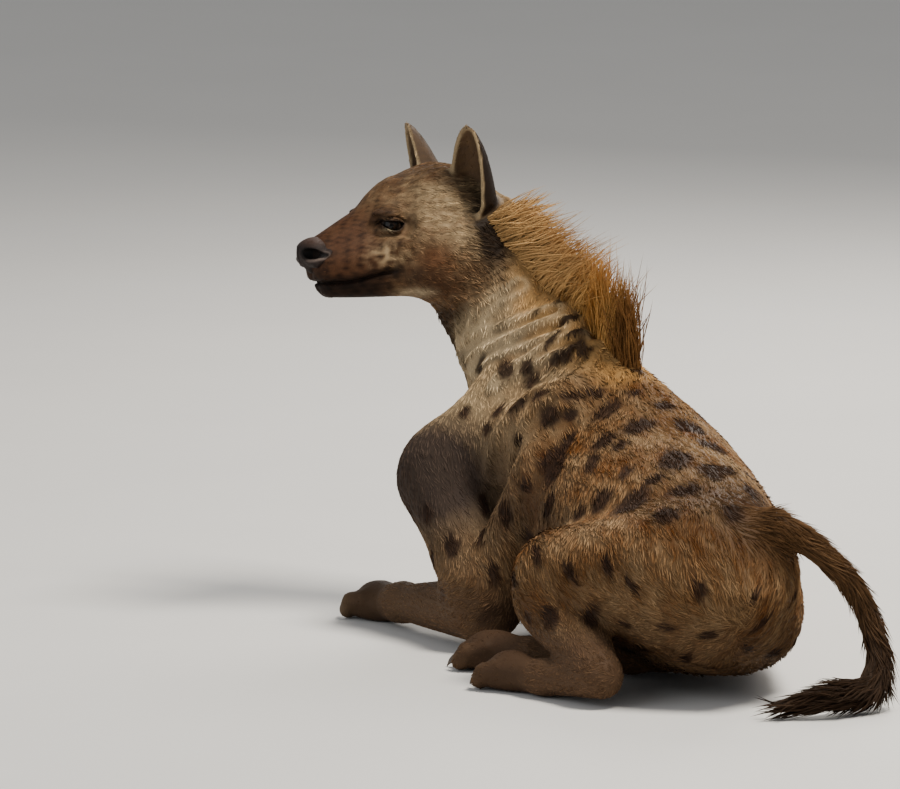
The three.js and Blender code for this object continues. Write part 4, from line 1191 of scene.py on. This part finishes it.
class CoatSettings(PropertyGroup):
    seed: IntProperty(name="Seed", description="Seed of the scattering", default=7)
    gap: metres("Lock gap", "Distance between locks on the trunk", 0.0036)
    length: metres("Lock length", "Length of the locks on the trunk", 0.0165)
    width: metres("Lock width", "Width of the locks on the trunk", 0.0021)
    lift: number("Lift", "Rise of a lock for its length", 0.18)
    mane_gap: metres("Mane gap", "Distance between mane locks", 0.0023)
    tawny: paint("Tawny", "Ground colour of the trunk", 102, 73, 45)
    pale: paint("Pale", "Pale hair of the neck and cheeks", 176, 152, 116)
    # White also paints highlights on the fold ridges and on the lower lids.
    white: paint("White", "Pale patch of the jaw and crests of the folds", 190, 170, 136)
    # The colour of the painted shade low on the trunk, near the floor.
    low_shade: paint("Dusk", "Belly", 78, 60, 44)
    wet: paint("Wet", "Wet coat of the shoulder", 58, 47, 41)
    # Spot also paints shade in the fold grooves and behind the ears.
    spot: paint("Spot", "Spots", 42, 27, 18)
    mane: paint("Mane", "Golden hair", 180, 134, 74)
    mane_tip: paint("Mane tip", "Tips and rear of the mane", 66, 34, 15)
    brow: paint("Brow", "Top of the head", 104, 80, 56)
    muzzle: paint("Muzzle", "Muzzle and jaw", 70, 43, 26)
    rust: paint("Rust", "Patch on the cheek", 94, 58, 34)
    shin: paint("Shin", "Lower legs", 88, 66, 48)
    # Black also paints shade on the throat, under the jaw, in the ear hollows and nostrils, and behind the
    # ears.
    black: paint("Black", "Lips, lids and ear backs", 26, 17, 12)


class StageSettings(PropertyGroup):
    distance: metres("Camera distance", "From the middle of the picture", 30.0)
    azimuth: number("Trunk angle", "Trunk from the picture plane, degrees", 62.0)
    rise: number("Camera rise", "Camera above the horizon, degrees", 8.8)
    scale: number("Picture scale", "Pixels for a metre of the animal", 740.0)
    floor: FloatVectorProperty(
        name="Floor", description="Floor colour", default=(0.62, 0.60, 0.57), subtype="COLOR"
    )


class SkinOperator(Operator):
    """One skin over head, neck, trunk, tail, legs and ears."""

    bl_idname = "hyena.skin"
    bl_label = "Skin"

    def execute(self, context):
        V, quads, N = build_skin(context.scene.hyena_body)
        marks = Markings(context.scene.hyena_coat, V, N)
        shape.update(V=V, quads=quads, N=N, marks=marks)
        skin = make_mesh("skin", V, quads, True, marks.colour(V) * 0.8)
        own = ("eye_left", "eye_right", "nose_pad", "mane")
        ride(skin, skin_material(), [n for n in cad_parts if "claw" not in n and n not in own])
        return {"FINISHED"}


def hidden_places(P, N):
    """Places with no coat: eyes, mouth, nose, and what lies on the floor."""
    H, on_head = to_head(P), head_share(P) > 0.5
    A = mirrored(H)
    eye = (aperture(A) < 0.0016) & (A[:, 1] > 0.030) & (np.abs(A[:, 2] - 0.028) < 0.03)
    mouth = (np.abs(H[:, 2] - lip_line(H[:, 0])) < 0.0030) & (H[:, 0] < 0.126) & on_head
    nose = (nose_field(H) < 0.001) & on_head
    return eye | mouth | nose | ((P[:, 2] < 0.004) & (N[:, 2] < -0.6))


def lock_sizes(coat, P):
    """Gap, length and width of the locks at each place."""
    H, share = to_head(P), head_share(P)
    limb = smooth(0.045, 0.10, shin_distance(P))
    foot = smooth(0.045, 0.10, paw_distance(P))
    gap = coat.gap * np.minimum(0.86 + 0.14 * limb, 0.74 + 0.26 * foot)
    gap *= 1 + 0.5 * smooth(0.06, 0.02, P[:, 2]) * limb
    neck = smooth(5.5, 7.5, spine.place(P)[0])
    length = coat.length * np.minimum(0.50 + 0.50 * limb, 0.25 + 0.75 * foot) * (1 - 0.3 * neck)
    on_tail = 1 - smooth(0.02, 0.05, tail_distance(P, 0))
    length += (0.034 + 0.016 * smooth(0.12, 0.06, P[:, 2]) - length) * on_tail
    length += (0.0036 + 0.009 * smooth(0.06, 0.28, H[:, 0]) - length) * share
    gap += (0.0020 + 0.0009 * smooth(0.06, 0.24, H[:, 0]) - gap) * share
    on_ear = smooth(0.012, 0.004, ears(H))
    length += (0.0046 - length) * on_ear
    gap += (0.0017 - gap) * on_ear
    return gap, length, coat.width * (gap / coat.gap) ** 1.1


class CoatOperator(Operator):
    """Short locks over the whole skin, shorter on the face and feet, in pieces."""

    bl_idname = "hyena.coat"
    bl_label = "Coat"

    def execute(self, context):
        coat, marks = context.scene.hyena_coat, shape["marks"]
        thin = 1.0
        P, N = scatter(lambda C: lock_sizes(coat, C)[0] * thin, coat.seed)
        keep = ~hidden_places(P, N)
        P, N = P[keep], N[keep]
        rng = np.random.default_rng(coat.seed + 1)
        _, length, width = lock_sizes(coat, P)
        D = lie(P, N)
        D = unit(D + np.cross(N, D) * (0.35 * wave(P, 0.045, 21))[:, None])
        wet = place_share(P, *WET_SHOULDER)
        folded = np.clip(np.abs(fold_depth(P)) / 0.002, 0, 1) * (1 - head_share(P))
        lift = coat.lift * (1 + 0.3 * wave(P, 0.03, 22)) * (1 - 0.55 * wet) * (1 - 0.55 * folded)
        length *= 1 - 0.15 * folded
        vary = 0.34 + 0.20 * head_share(P)
        colour = marks.colour(P) * (1 + vary * rng.uniform(-1, 1, len(P)))[:, None]
        tips = np.clip(colour * rng.uniform(0.9, 1.4, len(P))[:, None], 0, 1)
        names, uv = pieces(P)
        shape["material"] = coat_material()
        for i, name in enumerate(sorted(set(names))):
            m = names == name
            roots = [a[m] for a in (P, N, D, length, width, lift, colour, tips, uv)]
            V, faces, C, charted = locks(
                *roots,
                seed=coat.seed + i,
                pull=0.4 + 0.3 * float(wet[m].mean()),
                rings=(0.0, 0.42),
                droop=0.35,
                clump=0.016,
                # root: painted shade at the roots of the locks
                root=0.62,
            )
            V[:, 2] = np.maximum(V[:, 2], LOCK_FLOOR)
            ride(make_mesh(name, V, faces, False, C, charted), shape["material"])
        return {"FINISHED"}


class ManeOperator(Operator):
    """Long standing hair from the nape to behind the withers."""

    bl_idname = "hyena.mane"
    bl_label = "Mane"

    def execute(self, context):
        coat, marks = context.scene.hyena_coat, shape["marks"]
        P, N = scatter(lambda C: np.where(crest.field(C) < 0.012, coat.mane_gap, NOWHERE), coat.seed + 40)
        station, blended = crest.place(P)
        q = P - blended(crest.middle)
        out, high = dot(q, blended(crest.side)), dot(q, blended(crest.up))
        keep = (crest.field(P) < 0.009) & (high > -0.04) & (N[:, 2] > 0.1)
        keep &= (ears(to_head(P)) > 0.004) & (np.abs(out) < 0.013)
        P, N, station, out = P[keep], N[keep], station[keep], out[keep]
        _, blended = crest.place(P)
        rng = np.random.default_rng(coat.seed + 41)
        fan = out[:, None] / 0.022
        lean = (-0.42 + 0.74 * smooth(0.5, 4.5, station))[:, None]
        D = blended(crest.up) - blended(crest.ahead) * lean + blended(crest.side) * 0.14 * fan
        D = unit(D + rng.normal(0, 0.09, P.shape))
        reach = np.full(len(P), 0.012)
        for t in np.arange(0.012, 0.13, 0.004):
            reach = np.where(crest.field(P + D * t) < 0.001, t, reach)
        length = reach * rng.uniform(0.70, 1.04, len(P)) + 0.008
        gold = mix(marks.colour(P), coat.mane, 0.85)
        dark = np.clip(0.10 + 0.4 * wave(P, 0.03, 31) + 0.7 * smooth(2.6, 1.2, station), 0, 1)
        gold = mix(gold, coat.pale, 0.30 * smooth(3.5, 6.5, station))
        gold = mix(gold, coat.mane_tip, 0.75 * smooth(3.3, 1.2, station))
        colour = gold * rng.uniform(0.75, 1.25, len(P))[:, None]
        tips = mix(colour * 1.2, coat.mane_tip, dark * rng.uniform(0.3, 1.0, len(P)))
        uv = np.stack([0.002 + 0.996 * station / (len(CREST) - 1), 0.5 + np.clip(out / 0.07, -0.49, 0.49)], 1)
        flat = unit(N - D * dot(N, D)[:, None] * 0.999)
        width, lift = np.full(len(P), 0.0016), np.full(len(P), 0.10)
        V, faces, C, charted = locks(
            *(P, flat, D, length, width, lift, colour, tips, uv),
            seed=coat.seed + 42,
            pull=0.45,
            rings=(0.0, 0.35, 0.7),
            droop=2.2,
            clump=0.013,
            # root: painted shade at the roots of the locks
            root=0.85,
        )
        ride(make_mesh("mane_hair", V, faces, False, C, charted), shape["material"], ["mane"])
        return {"FINISHED"}


def eyeball(centre, gaze, radius):
    """Corners, triangles and colours of an eye with a raised front, its rings round the gaze."""
    rows, columns = EYE_GRID
    side = unit(np.cross(UP, gaze))
    top = np.cross(gaze, side)
    polar = np.pi * (np.arange(rows + 1) / rows) ** 1.2
    turn = 2 * np.pi * np.arange(columns) / columns
    a, b = np.meshgrid(polar, turn, indexing="ij")
    across = np.cos(b)[..., None] * side + np.sin(b)[..., None] * top
    D = np.cos(a)[..., None] * gaze + np.sin(a)[..., None] * across
    bulged = radius * (1 + 0.07 * np.exp(-((a / 0.45) ** 2)))
    V = (centre + D * bulged[..., None])[1:-1].reshape(-1, 3)
    V = np.vstack([V, centre + gaze * radius * 1.07, centre - gaze * radius])
    polar = np.append(np.repeat(polar[1:-1], columns), [0, np.pi])
    colour = mix(tone(26, 17, 11), tone(12, 9, 7), smooth(0.30, 0.52, polar))
    colour = mix(colour, tone(5, 4, 4), smooth(0.24, 0.19, polar))
    colour = mix(colour, tone(60, 46, 38), smooth(0.75, 1.0, polar) * 0.5)
    ids = np.arange((rows - 1) * columns).reshape(rows - 1, columns)
    front, back = np.full(columns, ids.size), np.full(columns, ids.size + 1)
    nxt = np.roll(ids, -1, 1)
    quads = np.stack([ids[:-1], ids[1:], nxt[1:], nxt[:-1]], -1).reshape(-1, 4)
    caps = [np.stack([front, ids[0], nxt[0]], 1), np.stack([back, nxt[-1], ids[-1]], 1)]
    return V, np.vstack([quads[:, [0, 1, 2]], quads[:, [0, 2, 3]], *caps]), colour


class EyesOperator(Operator):
    """Two glossy dark eyes behind the lids."""

    bl_idname = "hyena.eyes"
    bl_label = "Eyes"

    def execute(self, context):
        material = eye_material()
        back, out, up = EYE["at"]
        for name, sign in (("eye_left", 1), ("eye_right", -1)):
            gaze = unit(AHEAD * 0.34 + LEFT * sign * 0.92 - UP * 0.10)
            V, faces, colour = eyeball(from_head(back, sign * out, up), gaze, EYE["radius"])
            ride(make_mesh(name + "_ball", V, faces, True, colour), material, [name])
        return {"FINISHED"}


class NoseOperator(Operator):
    """The nose pad with its nostrils."""

    bl_idname = "hyena.nose"
    bl_label = "Nose"

    def execute(self, context):
        lines = [middle + np.arange(-0.036, 0.036, 0.0011) for middle in from_head(0.020, 0, -0.008)]
        V, quads = nets(lambda P: nose_field(to_head(P)), lines)
        A = mirrored(to_head(V))
        _, out, up = A.T
        depth = nostril(A)
        rim = np.exp(-(((depth - 0.0026) / 0.0016) ** 2))
        rim = rim * smooth(0.0, -0.010, up) * smooth(0.014, 0.022, out)
        # Painted highlight: the top of the pad lighter, where the sky shows on the wet leather.
        colour = mix(tone(34, 26, 23), tone(66, 46, 36), 0.6 * smooth(0.000, 0.014, up))
        # Painted highlight along the lower outer rims of the nostrils.
        colour = mix(colour, tone(112, 98, 90), 0.7 * rim)
        # Painted shade deep in the nostrils.
        colour = mix(colour, tone(8, 6, 6), smooth(0.0020, -0.0005, depth))
        ride(make_mesh("nose", V, quads, True, colour), nose_material(), ["nose_pad"])
        return {"FINISHED"}


def claw(body, lateral, reach):
    """Rings of a blunt claw curving down from its toe, in the frame of its paw."""
    rings, sides = CLAW_GRID
    corners = []
    for i in range(rings):
        t = i / (rings - 1)
        forward = reach + 0.004 + (body.claw_length + 0.006) * math.sin(1.15 * t) / math.sin(1.15)
        height = 0.0175 - 0.0130 * t**1.8
        radius = body.claw_radius * (1 - t**1.6) * 0.95 + 0.0004
        lean = 0.95 * t
        for j in range(sides):
            a = 2 * math.pi * j / sides
            out, up = math.cos(a) * radius * 0.8, math.sin(a) * radius * 1.2
            ahead, high = forward + up * math.sin(lean), height + up * math.cos(lean)
            corners.append((ahead, lateral * 1.03 + out, high))
    return corners


def ring_faces(first, rings, sides):
    """Triangles of a tube of rings with flat ends, from its first corner on."""
    faces = []
    for i in range(rings - 1):
        for j in range(sides):
            a, b = first + i * sides + j, first + i * sides + (j + 1) % sides
            faces += [(a, b, b + sides), (a, b + sides, a + sides)]
    last = first + (rings - 1) * sides
    faces += [(first, first + j + 1, first + j) for j in range(1, sides - 1)]
    faces += [(last, last + j, last + j + 1) for j in range(1, sides - 1)]
    return faces


class ClawsOperator(Operator):
    """Four blunt curved claws on each paw."""

    bl_idname = "hyena.claws"
    bl_label = "Claws"

    def execute(self, context):
        material = claw_material()
        for paw_name, (x, y, heading) in PAWS.items():
            corners, faces = [], []
            for lateral, reach in TOES:
                faces += ring_faces(len(corners), *CLAW_GRID)
                corners += claw(context.scene.hyena_body, lateral, reach)
            ahead, left, up = np.array(corners).T
            c, s = math.cos(math.radians(heading)), math.sin(math.radians(heading))
            V = np.stack([x + ahead * c - left * s, y + left * c + ahead * s, np.maximum(up, CLAW_FLOOR)], 1)
            claws = make_mesh(paw_name + "_claws", V, np.array(faces), True)
            ride(claws, material, [f"{paw_name}_claw_{k}" for k in range(1, 5)])
        return {"FINISHED"}


def aim(obj, at, target):
    """Puts a camera or lamp at a point, looking at another."""
    bpy.context.scene.collection.objects.link(obj)
    obj.location = at
    obj.rotation_euler = Vector(target - at).to_track_quat("-Z", "Y").to_euler()


class StageOperator(Operator):
    """Pale floor, soft lights and the camera."""

    bl_idname = "hyena.stage"
    bl_label = "Stage"

    def execute(self, context):
        stage = context.scene.hyena_stage
        bpy.ops.mesh.primitive_plane_add(size=240, location=(0, 0, 0))
        floor = context.object
        floor.name = "floor"
        g = Graph("floor", Roughness=0.9)
        g.out(Base_Color=g.shaded((*stage.floor, 1), g.noise(3.0) * 0.06 + 0.97))
        floor.data.materials.append(g.material)
        turn, rise = math.radians(stage.azimuth), math.radians(stage.rise)
        right = vec(-math.cos(turn), -math.sin(turn), 0)
        away = vec(math.sin(turn), -math.cos(turn), 0)
        view = away * math.cos(rise) - vec(0, 0, math.sin(rise))
        up = np.cross(right, view)
        width, height = PICTURE
        across, down = width / 2 - WITHERS_PIXEL[0], height / 2 - WITHERS_PIXEL[1]
        centre = vec(*WITHERS) + right * (across / stage.scale) - up * (down / stage.scale)
        data = bpy.data.cameras.new("camera")
        data.sensor_width = 36
        data.lens = data.sensor_width * stage.distance * stage.scale / width
        data.clip_end = 200
        camera = bpy.data.objects.new("camera", data)
        aim(camera, centre - view * stage.distance, centre)
        context.scene.camera = camera
        middle = vec(0, 0.05, 0.3)
        for name, (to_right, to_up, off), size, power, colour in LAMPS:
            light = bpy.data.lights.new(name, "AREA")
            light.size, light.energy, light.color = size, power, colour
            way = right * to_right + up * to_up + view * off
            aim(bpy.data.objects.new(name, light), middle + way, middle)
        world = bpy.data.worlds.new("studio")
        world.use_nodes = True
        sky = world.node_tree.nodes["Background"].inputs
        sky["Color"].default_value, sky["Strength"].default_value = (0.85, 0.88, 0.92, 1), 0.42
        context.scene.world = world
        return {"FINISHED"}


class HyenaPanel(Panel):
    bl_idname = "HYENA_PT_panel"
    bl_label = "Hyena"
    bl_space_type = "VIEW_3D"
    bl_region_type = "UI"
    bl_category = "Hyena"

    def draw(self, context):
        for name, kind in SETTINGS.items():
            box = self.layout.box()
            for key in kind.__annotations__:
                box.prop(getattr(context.scene, name), key)
        for operator in OPERATORS:
            self.layout.operator(operator.bl_idname)


OPERATORS = (
    SkinOperator,
    CoatOperator,
    ManeOperator,
    EyesOperator,
    NoseOperator,
    ClawsOperator,
    StageOperator,
)
SETTINGS = {"hyena_body": BodySettings, "hyena_coat": CoatSettings, "hyena_stage": StageSettings}


def register():
    for kind in (*SETTINGS.values(), *OPERATORS, HyenaPanel):
        bpy.utils.register_class(kind)
    for name, kind in SETTINGS.items():
        setattr(bpy.types.Scene, name, PointerProperty(type=kind))


def unregister():
    for name in SETTINGS:
        delattr(bpy.types.Scene, name)
    for kind in reversed((*SETTINGS.values(), *OPERATORS, HyenaPanel)):
        bpy.utils.unregister_class(kind)


def main():
    register()
    for operator in OPERATORS:
        group, name = operator.bl_idname.split(".")
        getattr(getattr(bpy.ops, group), name)()


if __name__ == "__main__":
    main()
